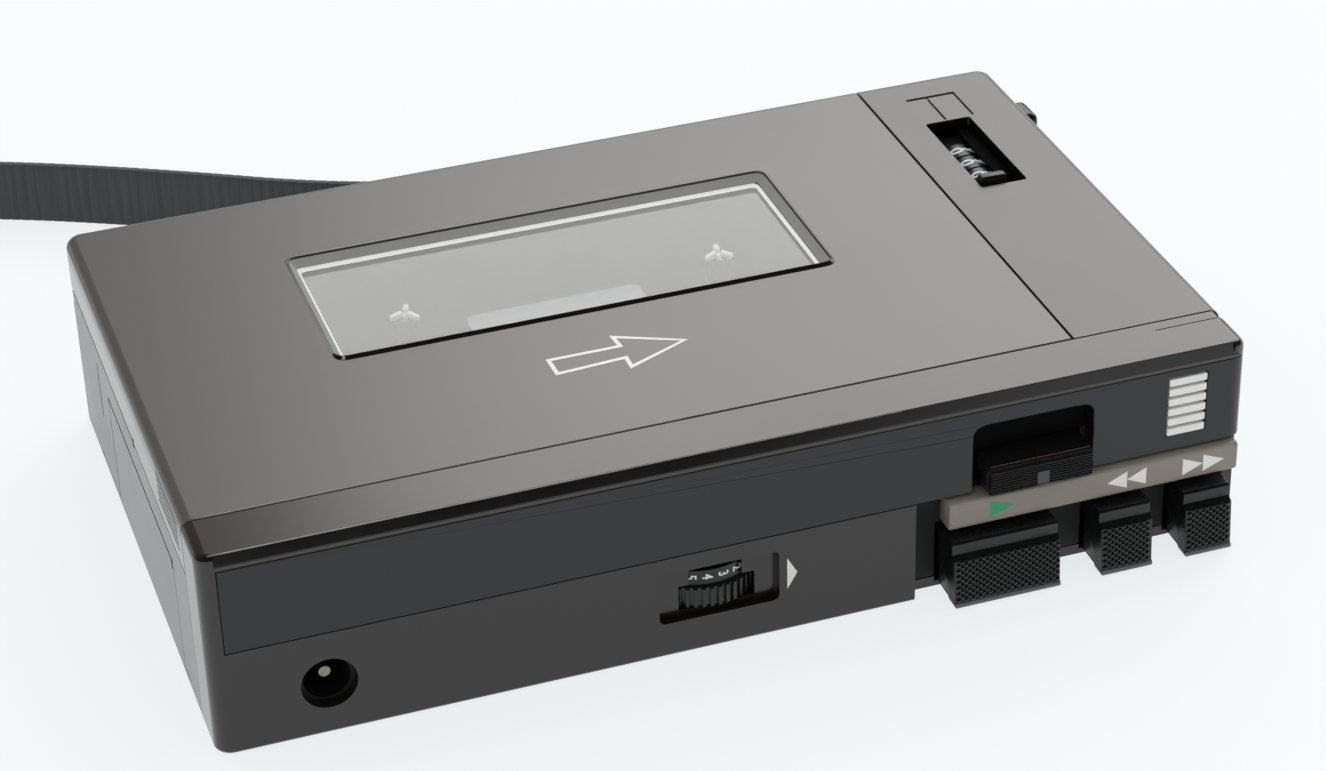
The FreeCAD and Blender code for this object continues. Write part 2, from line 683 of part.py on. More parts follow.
def make_tape_drive():
    """Chassis, reels, capstan with flywheel, idler, motor, belt, pinch roller and heads."""
    plate = brick("chassis_block", ("-64.2", "-31.4", "chassis_level"),
                  ("45.6", "38.7", "chassis_level + chassis_thickness"))
    tools = [
        brick("head_cutout", ("-40.5", "-40", "10"), ("27.5", "-11.5", "20")),
        brick("stop_notch", ("stop_left - 0.5", "-40", "10"), ("stop_right + 0.5", "-30.8", "20")),
    ]
    for side, along in (("left", "reel_left"), ("right", "reel_left + reel_pitch")):
        tools.append(rod("reel_hole_" + side, (along, "reel_row", "10"), "3.7", "10"))
    for n, (x, y) in enumerate(POSTS):
        tools.append(rod("chassis_hole_%d" % n, (x, y, "10"), "1.05", "10"))
    pivot = rod("arm_pivot_post", ("30", "-26.5", "chassis_level"), "0.85", "5.3")
    node("chassis_plate", fuse("chassis_joined", cut("chassis_cut", plate, *tools), pivot))
    top = "chassis_level + chassis_thickness"
    patch = brick("label_patch", ("-17.8", "14.8", top), ("6.4", "19.2", top + " + 0.12"))
    node("chassis_label", rounded("label_rounded", patch,
                                  lambda edge: 1.4 if edge_span(edge)[0][2] > 0.1 else None))
    reel_centres = (("supply", "reel_left"), ("takeup", "reel_left + reel_pitch"))
    shafts = []
    for side, along in reel_centres:
        centre = (along, "reel_row")
        shafts.append(turned("reel_shaft_" + side, (
            ("0", "9.2"), ("3.0", "9.2"), ("3.0", "9.6"), ("1.0", "9.6"), ("1.0", "10.2"), ("2.0", "10.2"),
            ("2.0", "11.5"), ("1.0", "11.5"), ("1.0", "23.4"), ("0", "23.4"),
        ), centre))
        spindle = turned(side + "_spindle_body", (
            ("1.05", "drive_level"), ("reel_disc_radius", "drive_level"),
            ("reel_disc_radius", "drive_level + drive_thickness"), ("2.6", "drive_level + drive_thickness"),
            ("2.6", "22.6"), ("1.7", "reel_tip"), ("0", "reel_tip"), ("0", "23.5"), ("1.05", "23.5"),
        ), centre)
        fin = spindle.newObject("PartDesign::Pad", side + "_fin")
        fin.Profile = sketch_on(spindle, side + "_fin_outline", "XZ_Plane", (
            ("1.3", "17"), ("3.8", "17"), ("3.8", "22.2"), ("1.3", "reel_tip"),
        ), "-0.45")
        fin.Length = 0.9
        around(spindle, side + "_fins", fin, 3)
        node(side + "_spindle", spindle)
    node("reel_shafts", group("reel_shaft_pair", *shafts))
    strip = brick("reel_strip", ("-33.4", "4.8", "9.6"), ("20.4", "14.4", "10.2"))
    legs = [rod("reel_leg_%d" % n, (x, "reel_row", "9.8"), "1.2", "chassis_level - 9.8")
            for n, x in enumerate(("-15", "1"))]
    seats = [rod("reel_seat_%d" % n, (along, "reel_row", "9"), "1.0", "3")
             for n, (_, along) in enumerate(reel_centres)]
    node("reel_plate", cut("reel_plate_cut", fuse("reel_plate_joined", strip, *legs), *seats))
    centre = ("capstan_along", "capstan_across")
    gear_top = "drive_level + drive_thickness"
    node("capstan", turned("capstan_shaft", (
        ("0", "2.0"), ("capstan_radius", "2.0"), ("capstan_radius", "drive_level"),
        ("drive_gear_radius", "drive_level"), ("drive_gear_radius", gear_top),
        ("capstan_radius", gear_top), ("capstan_radius", "24.6"), ("0", "24.6"),
    ), centre))
    node("flywheel", turned("flywheel_disc", (
        ("capstan_radius", "2.2"), ("flywheel_radius", "2.2"), ("flywheel_radius", "belt_level"),
        ("flywheel_radius - 0.6", "belt_level + 0.3"), ("flywheel_radius - 0.6", "belt_level + 1.3"),
        ("flywheel_radius", "belt_level + 1.6"), ("flywheel_radius", "5.0"), ("8.6", "5.0"),
        ("8.6", "4.0"), ("3.0", "4.0"), ("3.0", "6.0"), ("capstan_radius", "6.0"),
    ), centre))
    node("idler_wheel", ring("idler_ring", "0.85", "8.65", "drive_level", "drive_level + drive_thickness",
                             IDLER))
    node("capstan_bearing", ring("bearing_bush", "capstan_radius + 0.03", "2.2", "13.0", "14.6", centre))
    bridge = brick("bracket_bridge", ("13", "-23", "13.1"), ("34", "-3.2", "13.8"))
    legs = [brick("bracket_leg", ("32.8", "-23", "13.1"), ("34", "-3.2", "chassis_level"))]
    stud = rod("idler_stud", (*IDLER, "10.6"), "0.8", "3.0")
    node("capstan_bracket", cut(
        "bracket_cut", fuse("bracket_joined", bridge, stud, *legs),
        rod("bush_seat", (*centre, "10"), "2.2", "10"),
    ))
    make_motor()
    make_pinch_roller()
    make_heads()


IDLER = ("capstan_along - 1.76", "capstan_across + 12.6")


def make_motor():
    """Motor with its pulley underneath, and the flat belt that runs round pulley and flywheel."""
    centre = ("motor_along", "motor_across")
    node("motor", turned("motor_can", (
        ("0", "5.6"), ("2.6", "5.6"), ("2.6", "6.0"), ("motor_radius - 0.4", "6.0"), ("motor_radius", "6.4"),
        ("motor_radius", "14.9"), ("motor_radius - 0.4", "chassis_level"), ("0", "chassis_level"),
    ), centre))
    node("motor_pulley", turned("pulley_disc", (
        ("0", "2.4"), ("pulley_radius + 0.5", "2.4"), ("pulley_radius + 0.5", "belt_level + 0.1"),
        ("pulley_radius", "belt_level + 0.3"), ("pulley_radius", "belt_level + 1.3"),
        ("pulley_radius + 0.5", "belt_level + 1.5"), ("pulley_radius + 0.5", "4.8"), ("0.8", "4.8"),
        ("0.8", "5.4"), ("0", "5.4"),
    ), centre))
    belt = doc.addObject("Part::Feature", "drive_belt_loop")
    belt.Shape = belt_loop()
    node("drive_belt", belt)


def belt_loop():
    """An open flat belt: the loop round two circles at one clearance, cut by a smaller loop."""
    here = FreeCAD.Vector(dim("capstan_along"), dim("capstan_across"), dim("belt_level") + 0.4)
    there = FreeCAD.Vector(dim("motor_along"), dim("motor_across"), dim("belt_level") + 0.4)
    width = 0.8

    def loop_solid(grow):
        big = dim("flywheel_radius") - 0.6 + grow
        small = dim("pulley_radius") + grow
        span = there - here
        distance = span.Length
        lean = math.acos((big - small) / distance)
        bearing = math.atan2(span.y, span.x)
        corners = []
        for side in (1, -1):
            angle = bearing + side * lean
            normal = FreeCAD.Vector(math.cos(angle), math.sin(angle), 0)
            corners.append((here + normal * big, there + normal * small))
        outline = [
            Part.LineSegment(corners[0][0], corners[0][1]).toShape(),
            Part.Arc(corners[0][1], there + span * (small / distance), corners[1][1]).toShape(),
            Part.LineSegment(corners[1][1], corners[1][0]).toShape(),
            Part.Arc(corners[1][0], here - span * (big / distance), corners[0][0]).toShape(),
        ]
        return Part.Face(Part.Wire(Part.__sortEdges__(outline))).extrude(FreeCAD.Vector(0, 0, width))

    return loop_solid(0.55).cut(loop_solid(0.1))


def make_pinch_roller():
    """Pinch roller on its swinging arm beside the capstan."""
    node("pinch_roller", ring("roller_ring", "1.05", "5.2", "17.4", "24.2", ("19.0", "-27.0")))
    arm = pad("arm_plate", "XY_Plane", (
        ("17", "-29"), ("31.8", "-28.6"), ("31.8", "-24.6"), ("21", "-25.2"), ("17", "-25"),
    ), "16.2", "17.0")
    axle = rod("roller_axle", ("19.0", "-27.0", "16.2"), "1.0", "8.6")
    pivot = ring("arm_pivot", "0.9", "1.8", "16.1", "20", ("30", "-26.5"))
    hole = rod("arm_hole", ("30", "-26.5", "10"), "0.9", "20")
    node("pinch_roller_arm", fuse("arm_joined", cut("arm_plate_cut", arm, hole), axle, pivot))


def make_heads():
    """Sliding head plate with the record and play head and the erase head."""
    plate = pad("head_plate_sheet", "XY_Plane", (
        ("-34", "-31"), ("6.0", "-31"), ("6.0", "-9.0"), ("-34", "-9.0"),
    ), "14.5", "15.25")
    node("head_plate", plate)
    for name, left, right, back in (("record_play_head", "-12.2", "-1.4", "-25.8"),
                                    ("erase_head", "-26.4", "-19.6", "-26.2")):
        block = brick(name + "_block", (left, "-30.6", "15.25"), (right, back, "25.2"))
        node(name, rounded(name + "_round", block,
                           lambda edge: 1.6 if edge_span(edge)[1].y > -27 and edge_span(edge)[0][2] > 1
                           else None))


def make_power():
    """Battery cells, their contacts, the power socket with its centre pin."""
    cells = []
    for n, (along, start) in enumerate((("-57.2", "-22.9"), ("-42.9", "-25.6"))):
        can = rod("cell_%d" % n, (along, start, "cell_level"), "cell_radius", "cell_length", "y")
        cells.append(can)
    node("batteries", group("battery_pair", *cells))
    contacts = []
    for n, (along, spring_start, plate_start) in enumerate((("-57.2", "-26", "27.6"),
                                                            ("-42.9", "24.9", "-26"))):
        contacts.append(brick("contact_plate_%d" % n, ("%s - 5" % along, plate_start, "4"),
                              ("%s + 5" % along, plate_start + " + 0.4", "12")))
        contacts.append(rod("contact_spring_%d" % n, (along, spring_start, "cell_level"), "3.2", "3.1", "y"))
    node("battery_contacts", group("battery_contact_set", *contacts))
    body = brick("dc_body", ("dc_along - 4.6", "-39.1", "wall"), ("dc_along + 4.6", "-28.6", "12.2"))
    socket = rod("dc_socket", ("dc_along", "-50", "dc_level"), "2.9", "19", "y")
    node("dc_jack", cut("dc_jack_cut", body, socket))
    node("dc_jack_pin", rod("dc_pin", ("dc_along", "-38.0", "dc_level"), "0.72", "7.0", "y"))


def make_electronics():
    """Circuit board, volume control and wheel, loudspeaker, microphone and signal sockets."""
    board = pad("board_outline", "XY_Plane", (
        ("-47.0", "-38.6"), ("4.6", "-38.6"), ("4.6", "3.0"), ("-33.6", "3.0"), ("-33.6", "-28.6"),
        ("-47.0", "-28.6"),
    ), "3.2", "4.2")
    node("circuit_board", board)
    centre = ("wheel_along", "wheel_across")
    node("volume_pot", turned("pot_body", (
        ("0", "4.2"), ("4.6", "4.2"), ("4.6", "5.3"), ("1.2", "5.3"), ("1.2", "11.6"), ("0", "11.6"),
    ), centre))
    wheel = turned("volume_wheel_body", (
        ("1.25", "5.9"), ("wheel_radius", "5.9"), ("wheel_radius", "8.5"), ("dial_radius", "8.9"),
        ("dial_radius", "10.9"), ("1.25", "10.9"),
    ), centre)
    groove = wheel.newObject("PartDesign::Pocket", "wheel_groove")
    groove.Profile = sketch_on(wheel, "groove_outline", "XY_Plane", (
        ("wheel_radius - 0.45", "-0.25"), ("wheel_radius + 0.6", "-0.25"),
        ("wheel_radius + 0.6", "0.25"), ("wheel_radius - 0.45", "0.25"),
    ), "8.6")
    groove.Length = 3.2
    around(wheel, "wheel_grooves", groove, 48)
    node("volume_wheel", wheel)
    node("speaker", turned("speaker_cone", (
        ("0", "7.4"), ("5.0", "7.4"), ("5.0", "5.6"), ("15.6", "2.2"), ("15.6", "wall"), ("16.6", "wall"),
        ("16.6", "3.0"), ("7.5", "6.0"), ("7.5", "8.8"), ("0", "8.8"),
    ), ("-8", "20.7")))
    node("microphone_capsule", rod("mic_capsule", ("57.85", "-39.1", "20.6"), "4.2", "5.2", "y"))
    for name, across in (("earphone_jack", "earphone_across"), ("microphone_jack", "microphone_across")):
        body = fuse(name + "_joined",
                    brick(name + "_body", ("50.6", across + " - 3.4", "jack_level - 3.4"),
                          (RIGHT + " - wall", across + " + 3.4", "jack_level + 3.4")),
                    rod(name + "_collar", ("64.0", across, "jack_level"), "3.0", "2.2", "x"))
        node(name, cut(name + "_cut", body,
                       rod(name + "_bore", ("52", across, "jack_level"), "jack_radius", "20", "x")))
    stem = brick("record_stem", ("62.8", "28.2", "23.1"), ("65.2", "30.8", "25.5"))
    cap = brick("record_cap", ("65", "26.8", "22.4"), ("68.4", "32.2", "26.3"))
    cap_round = rounded("record_cap_round", cap,
                        lambda edge: 1.2 if edge_span(edge)[0][0] > 1 or edge_span(edge)[1].x > 68 else None)
    node("record_button", fuse("record_joined", stem, cap_round))


def make_screws():
    """Screws that hold the chassis and the rear cover, one set for each."""
    for name, head_radius, low, high, head_low, head_high in (
        ("chassis_screws", "1.9", "10.6", "16.0", "15.9", "16.25"),
        ("case_screws", "1.6", "1.4", "7.0", "0.6", "1.6"),
    ):
        screws = []
        for n, (x, y) in enumerate(POSTS):
            label = "%s_%d" % (name, n)
            shank = rod(label + "_shank", (x, y, low), "0.95", "%s - %s" % (high, low))
            head = rod(label + "_head", (x, y, head_low), head_radius, "%s - %s" % (head_high, head_low))
            screws.append(fuse(label, shank, head))
        node(name, group(name + "_set", *screws))


STRAP_ROUTE = (
    (55.0, 41.4, 6.6), (55.0, 49.4, 6.5), (48.6, 57.4, 6.2), (34.0, 61.6, 5.7), (6.0, 64.4, 5.2),
    (-21.0, 73.0, 5.0), (-45.0, 88.0, 4.8), (-70.0, 101.0, 4.8), (-94.0, 107.0, 5.75),
    (-118.0, 116.0, 5.75), (-140.0, 124.0, 5.0), (-163.0, 120.0, 4.8), (-176.0, 102.0, 4.8),
    (-176.0, 78.0, 4.8), (-164.0, 58.0, 4.8), (-143.0, 55.0, 4.8), (-129.0, 71.0, 4.8),
    (-126.0, 93.0, 5.1), (-117.8, 114.3, 5.75), (-101.85, 108.34, 5.75),
)
KEEPER_PLACE = (-105.8, 110.6, 5.75)
KEEPER_TURN = 159.44


def corner_arc(before, corner, after):
    """The tangent arc that rounds one corner of a route, as start, middle, end and radius."""
    to_before = (before - corner).normalize()
    to_after = (after - corner).normalize()
    reach = 0.45 * min((before - corner).Length, (after - corner).Length)
    half_turn = (math.pi - to_before.getAngle(to_after)) / 2
    radius = reach / math.tan(half_turn)
    bisector = (to_before + to_after).normalize()
    middle = corner + bisector * (radius / math.cos(half_turn) - radius)
    return corner + to_before * reach, middle, corner + to_after * reach, radius


def route_wire(points):
    """Straight runs joined by tangent arcs; also gives the radii."""
    edges = []
    radii = []
    here = points[0]
    for before, corner, after in zip(points, points[1:], points[2:]):
        start, middle, end, radius = corner_arc(before, corner, after)
        edges.append(Part.LineSegment(here, start).toShape())
        edges.append(Part.Arc(start, middle, end).toShape())
        radii.append(radius)
        here = end
    edges.append(Part.LineSegment(here, points[-1]).toShape())
    return Part.Wire(edges), radii


def make_strap():
    """Wrist strap: flat webbing that stands on its edge, held by a pin inside the case."""
    points = [FreeCAD.Vector(*place) for place in STRAP_ROUTE]
    wire, radii = route_wire(points)
    width = dim("strap_width")
    thickness = dim("strap_thickness")
    heading = (points[1] - points[0]).normalize()
    aside = heading.cross(FreeCAD.Vector(0, 0, 1)).normalize() * (thickness / 2)
    upright = FreeCAD.Vector(0, 0, width / 2)
    corners = [points[0] + aside * u + upright * v for u, v in ((1, 1), (-1, 1), (-1, -1), (1, -1))]
    section = Part.makePolygon(corners + corners[:1])
    shell = Part.BRepOffsetAPI.MakePipeShell(wire)
    shell.setBiNormalMode(FreeCAD.Vector(0, 0, 1))
    shell.add(section)
    shell.build()
    shell.makeSolid()
    webbing = shell.shape()
    print("strap radii", [round(radius, 1) for radius in radii])
    print("strap length", round(wire.Length, 1), "volume", round(webbing.Volume, 1),
          "section by length", round(width * thickness * wire.Length, 1))
    strap = doc.addObject("Part::Feature", "strap_webbing")
    strap.Shape = webbing
    node("strap", strap)
    anchor = brick("anchor_block", ("strap_along - 0.65", "37.5", "6.6 - strap_width / 2"),
                   ("strap_along + 0.65", "41.4", "6.6 + strap_width / 2"))
    eye = rod("anchor_eye", ("strap_along", "36.9", "6.6 - strap_width / 2"), "1.7", "strap_width")
    bore = rod("anchor_bore", ("strap_along", "36.9", "0"), "0.9", "20")
    node("strap_anchor", cut("anchor_cut", fuse("anchor_joined", anchor, eye), bore))
    sleeve = doc.addObject("Part::Box", "keeper_sleeve")
    hollow = doc.addObject("Part::Box", "keeper_hollow")
    for block, size in ((sleeve, (9.0, 5.4, 11.5)), (hollow, (20.0, 3.6, 10.1))):
        block.Length, block.Width, block.Height = size
        turn = FreeCAD.Rotation(FreeCAD.Vector(0, 0, 1), KEEPER_TURN)
        middle = FreeCAD.Vector(*size) * 0.5
        block.Placement = FreeCAD.Placement(FreeCAD.Vector(*KEEPER_PLACE) - turn.multVec(middle), turn)
    node("strap_keeper", cut("keeper_cut", sleeve, hollow))


make_door()
make_rear_cover()
make_battery_lid()
make_front_frame()
make_top_panel()
make_counter()
make_key_group()
make_tape_drive()
make_power()
make_electronics()
make_screws()
make_strap()

doc.recompute()
bad = [item.Name for item in doc.Objects if {"Invalid", "Error"} & set(item.State)]
for name, item in NODES.items():
    shape = item.Shape
    if shape.isNull() or not shape.isValid() or not shape.Solids:
        bad.append(name)
if bad:
    raise RuntimeError("failed: " + ", ".join(bad))
if len(NODES) > 60:
    raise RuntimeError("too many nodes: %d" % len(NODES))
os.makedirs("parts", exist_ok=True)
for name, item in NODES.items():
    item.Shape.exportStep("parts/%s.step" % name)
print(len(NODES), "nodes written")
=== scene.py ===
"""The looks of a pocket cassette recorder lying on its back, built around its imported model.

Lengths in the code are in millimetres in the part's own frame: +X runs towards the tape counter,
-Y is the side with the keys, +Z points out of the cassette door. MM turns them into metres.
"""
from __future__ import annotations

import json
import logging
import math
from dataclasses import dataclass, field
from enum import Enum

import bmesh
import bpy
import numpy as np
from mathutils import Matrix, Vector

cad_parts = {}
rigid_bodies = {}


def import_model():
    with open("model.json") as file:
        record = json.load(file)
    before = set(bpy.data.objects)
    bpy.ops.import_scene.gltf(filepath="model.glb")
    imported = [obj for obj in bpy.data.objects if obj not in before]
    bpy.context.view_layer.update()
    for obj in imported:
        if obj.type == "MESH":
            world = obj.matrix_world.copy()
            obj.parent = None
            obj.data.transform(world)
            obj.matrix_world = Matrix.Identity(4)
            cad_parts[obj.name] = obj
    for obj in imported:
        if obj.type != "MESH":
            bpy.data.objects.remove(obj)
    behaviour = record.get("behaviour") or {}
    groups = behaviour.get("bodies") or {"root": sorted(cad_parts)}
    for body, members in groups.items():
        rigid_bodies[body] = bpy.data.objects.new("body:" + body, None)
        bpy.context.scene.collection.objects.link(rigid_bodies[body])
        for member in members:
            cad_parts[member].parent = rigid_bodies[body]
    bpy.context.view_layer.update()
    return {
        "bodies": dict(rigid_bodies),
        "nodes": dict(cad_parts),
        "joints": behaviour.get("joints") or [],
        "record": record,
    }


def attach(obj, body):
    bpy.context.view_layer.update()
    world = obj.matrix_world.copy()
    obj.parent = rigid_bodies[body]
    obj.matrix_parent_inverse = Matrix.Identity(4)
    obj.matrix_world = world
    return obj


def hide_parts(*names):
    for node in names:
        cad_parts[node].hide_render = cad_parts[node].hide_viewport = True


LOG = logging.getLogger("cassette_recorder")
MM = 0.001
X, Y, Z = np.eye(3)
# Corners closer than this many metres are one, on a new piece and on a CAD node's loose triangles
MERGE_NEW = 1e-7
MERGE_CAD = 1e-6
# Faces of a moulding that meet at more than this many degrees have a sharp edge between them,
# and the edges above the second angle are broken
SHARP = 28.0
BROKEN = 40.0
# Faces within this many radians are one flat
LEVEL = 0.003
# A capital's height as a share of its typeface's size
CAPITAL = 0.72
# How deep a print reaches into the surface that it lies on, in millimetres
SUNK = 0.01
# Points of a shape in millimetres, and the corner numbers of each of its faces
Shape = tuple[np.ndarray, list[tuple[int, ...]]]


# Node trees and finishes


def linear(colour: str) -> tuple[float, float, float, float]:
    """Turns an sRGB hex colour into the linear values that shaders take.

    Args:
        colour: six hex digits.

    Returns:
        Red, green, blue and an alpha of one.
    """
    parts = [int(colour[i:i + 2], 16) / 255 for i in (0, 2, 4)]
    bright = [c / 12.92 if c <= 0.04045 else ((c + 0.055) / 1.055) ** 2.4 for c in parts]
    return bright[0], bright[1], bright[2], 1.0


def add_node(tree: bpy.types.NodeTree, kind: str, settings: dict | None = None,
             values: dict | None = None, links: dict | None = None) -> bpy.types.Node:
    """Adds one node to a tree.

    Args:
        tree: the tree that takes the node.
        kind: the node's Blender type.
        settings: the node's own attributes.
        values: constants for input sockets, by name or number.
        links: output sockets that feed input sockets, by name or number.

    Returns:
        The new node.
    """
    node = tree.nodes.new(kind)
    for name, value in (settings or {}).items():
        setattr(node, name, value)
    for name, value in (values or {}).items():
        node.inputs[name].default_value = value
    for name, source in (links or {}).items():
        tree.links.new(source, node.inputs[name])
    return node


def seen_directly(tree: bpy.types.NodeTree) -> bpy.types.NodeSocket:
    """A socket that is one for camera, mirror and glass rays, and nought for light that spreads.

    A ray that left a dull surface before it went through the window counts as spreading too.

    Args:
        tree: the tree that takes the nodes.

    Returns:
        The socket.
    """
    path = add_node(tree, "ShaderNodeLightPath")
    seen = path.outputs["Is Camera Ray"]
    for kind in ("Is Glossy Ray", "Is Transmission Ray"):
        seen = add_node(tree, "ShaderNodeMath", {"operation": "MAXIMUM"},
                        links={0: seen, 1: path.outputs[kind]}).outputs[0]
    fresh = add_node(tree, "ShaderNodeMath", {"operation": "LESS_THAN"}, {1: 0.5},
                     {0: path.outputs["Diffuse Depth"]})
    return add_node(tree, "ShaderNodeMath", {"operation": "MULTIPLY"},
                    links={0: seen, 1: fresh.outputs[0]}).outputs[0]


class Space(Enum):
    """Where a pattern takes its coordinates from."""

    OBJECT = "Object"
    UV = "UV"


@dataclass(frozen=True)
class Finish:
    """A surface finish: a base colour with a slow variation, and a fine relief.

    The slow variation mixes the colour with a lighter or darker one over patches of mottle_mm, and
    the relief is a noise of grain_mm whose depth is relief_mm. Stretch draws the grain out along
    one axis, as brushing or rolling does.
    """

    name: str
    colour: str
    roughness: float
    second: str = ""
    mottle_mm: float = 6.0
    mottle: float = 0.35
    grain_mm: float = 0.35
    relief_mm: float = 0.004
    stretch: tuple[float, float, float] = (1.0, 1.0, 1.0)
    metallic: float = 0.0
    ior: float = 1.5
    coat: float = 0.0
    coat_roughness: float = 0.1
    sheen: float = 0.0
    rough_swing: float = 0.05

    def pattern(self, tree: bpy.types.NodeTree) -> dict[str, bpy.types.NodeSocket]:
        """Makes the colour, roughness and normal sockets of the finish.

        Args:
            tree: the material's tree.

        Returns:
            Sockets for Base Color, Roughness and Normal.
        """
        place = add_node(tree, "ShaderNodeTexCoord").outputs[Space.OBJECT.value]
        slow = add_node(tree, "ShaderNodeTexNoise", values={"Scale": 1000 / self.mottle_mm, "Detail": 3.0},
                        links={"Vector": place})
        colours = add_node(tree, "ShaderNodeMix", {"data_type": "RGBA"},
                           {"Factor": 0.5, "A": linear(self.colour), "B": linear(self.second or self.colour)})
        swing = add_node(tree, "ShaderNodeMapRange",
                         values={"From Min": 0.35, "From Max": 0.65, "To Min": 0.0, "To Max": self.mottle},
                         links={"Value": slow.outputs["Fac"]})
        tree.links.new(swing.outputs["Result"], colours.inputs["Factor"])
        rough = add_node(tree, "ShaderNodeMapRange",
                         values={"From Min": 0.3, "From Max": 0.7,
                                 "To Min": self.roughness - self.rough_swing,
                                 "To Max": self.roughness + self.rough_swing},
                         links={"Value": slow.outputs["Fac"]})
        sized = add_node(tree, "ShaderNodeMapping", {"vector_type": "POINT"},
                         {"Scale": tuple(1000 / self.grain_mm / s for s in self.stretch)},
                         {"Vector": place})
        grain = add_node(tree, "ShaderNodeTexNoise", values={"Scale": 1.0, "Detail": 2.0, "Roughness": 0.6},
                         links={"Vector": sized.outputs["Vector"]})
        bump = add_node(tree, "ShaderNodeBump", values={"Strength": 1.0, "Distance": self.relief_mm * MM},
                        links={"Height": grain.outputs["Fac"]})
        return {"Base Color": colours.outputs["Result"], "Roughness": rough.outputs["Result"],
                "Normal": bump.outputs["Normal"]}

    def surface(self, tree: bpy.types.NodeTree) -> bpy.types.NodeSocket:
        """Makes the shader of the finish.

        Args:
            tree: the material's tree.

        Returns:
            The socket for Surface.
        """
        shader = add_node(tree, "ShaderNodeBsdfPrincipled", values={
            "Metallic": self.metallic, "IOR": self.ior, "Coat Weight": self.coat,
            "Coat Roughness": self.coat_roughness, "Sheen Weight": self.sheen,
        }, links=self.pattern(tree))
        return shader.outputs["BSDF"]

    def material(self) -> bpy.types.Material:
        """Builds the material once and hands it out again afterwards.

        Returns:
            The material.
        """
        known = bpy.data.materials.get(self.name)
        if known:
            return known
        made = bpy.data.materials.new(self.name)
        made.use_nodes = True
        made.node_tree.nodes.clear()
        add_node(made.node_tree, "ShaderNodeOutputMaterial", links={"Surface": self.surface(made.node_tree)})
        return made


@dataclass(frozen=True)
class ClearMoulding(Finish):
    """Clear styrene: light goes through it, and its skin mirrors the room."""

    def surface(self, tree: bpy.types.NodeTree) -> bpy.types.NodeSocket:
        """Makes the clear shader.

        Args:
            tree: the material's tree.

        Returns:
            The socket for Surface.
        """
        shader = add_node(tree, "ShaderNodeBsdfPrincipled", values={
            "IOR": self.ior, "Transmission Weight": 1.0, "Coat Weight": self.coat,
            "Coat Roughness": self.coat_roughness,
        }, links=self.pattern(tree))
        return shader.outputs["BSDF"]


@dataclass(frozen=True)
class SpeckledDoor(Finish):
    """Spark-eroded top face over a smoother skirt, which starts below skirt_mm."""

    skirt_mm: float = 25.6
    skirt_fade_mm: float = 0.6
    skirt_share: float = 0.65

    def pattern(self, tree: bpy.types.NodeTree) -> dict[str, bpy.types.NodeSocket]:
        """Takes the roughness down to skirt_share of its value over skirt_fade_mm below skirt_mm.

        Args:
            tree: the material's tree.

        Returns:
            Sockets for Base Color, Roughness and Normal.
        """
        sockets = Finish.pattern(self, tree)
        place = add_node(tree, "ShaderNodeTexCoord").outputs[Space.OBJECT.value]
        level = add_node(tree, "ShaderNodeSeparateXYZ", links={"Vector": place}).outputs["Z"]
        share = add_node(tree, "ShaderNodeMapRange", values={
            "From Min": (self.skirt_mm - self.skirt_fade_mm) * MM, "From Max": self.skirt_mm * MM,
            "To Min": self.skirt_share, "To Max": 1.0}, links={"Value": level})
        sockets["Roughness"] = add_node(tree, "ShaderNodeMath", {"operation": "MULTIPLY"}, links={
            0: sockets["Roughness"], 1: share.outputs["Result"]}).outputs[0]
        return sockets


@dataclass(frozen=True)
class BackdropPaper(Finish):
    """White paper that the camera, mirrors and glass see part of the way up to plain white."""

    white: str = "fbffff"
    glow: float = 0.78

    def surface(self, tree: bpy.types.NodeTree) -> bpy.types.NodeSocket:
        """Makes the paper's shader, mixed with white light by glow for those rays alone.

        Args:
            tree: the material's tree.

        Returns:
            The socket for Surface.
        """
        paper = add_node(tree, "ShaderNodeBsdfPrincipled", values={"IOR": self.ior}, links=self.pattern(tree))
        light = add_node(tree, "ShaderNodeEmission", values={"Color": linear(self.white), "Strength": 1.0})
        share = add_node(tree, "ShaderNodeMath", {"operation": "MULTIPLY"}, {1: self.glow},
                         {0: seen_directly(tree)})
        mix = add_node(tree, "ShaderNodeMixShader", links={0: share.outputs[0], 1: paper.outputs["BSDF"],
                                                           2: light.outputs["Emission"]})
        return mix.outputs["Shader"]


@dataclass(frozen=True)
class WovenNylon(Finish):
    """Ribbed nylon webbing: fine yarns along the ribs, read from the band's own UV map."""

    yarn_mm: float = 0.4
    drawn_out: float = 30.0

    def pattern(self, tree: bpy.types.NodeTree) -> dict[str, bpy.types.NodeSocket]:
        """Draws a noise of yarn_mm along the band and drawn_out times that across it, in metres.

        Args:
            tree: the material's tree.

        Returns:
            Sockets for Base Color, Roughness and Normal.
        """
        place = add_node(tree, "ShaderNodeTexCoord").outputs[Space.UV.value]
        fine = 1000 / self.yarn_mm
        sized = add_node(tree, "ShaderNodeMapping", {"vector_type": "POINT"},
                         {"Scale": (fine, fine / self.drawn_out, 1.0)}, {"Vector": place})
        yarn = add_node(tree, "ShaderNodeTexNoise", values={"Scale": 1.0, "Detail": 2.0},
                        links={"Vector": sized.outputs["Vector"]})
        colours = add_node(tree, "ShaderNodeMix", {"data_type": "RGBA"},
                           {"A": linear(self.second), "B": linear(self.colour)},
                           {"Factor": yarn.outputs["Fac"]})
        rough = add_node(tree, "ShaderNodeMapRange",
                         values={"To Min": self.roughness + self.rough_swing, "To Max": self.roughness},
                         links={"Value": yarn.outputs["Fac"]})
        bump = add_node(tree, "ShaderNodeBump", values={"Strength": 0.6, "Distance": self.relief_mm * MM},
                        links={"Height": yarn.outputs["Fac"]})
        return {"Base Color": colours.outputs["Result"], "Roughness": rough.outputs["Result"],
                "Normal": bump.outputs["Normal"]}


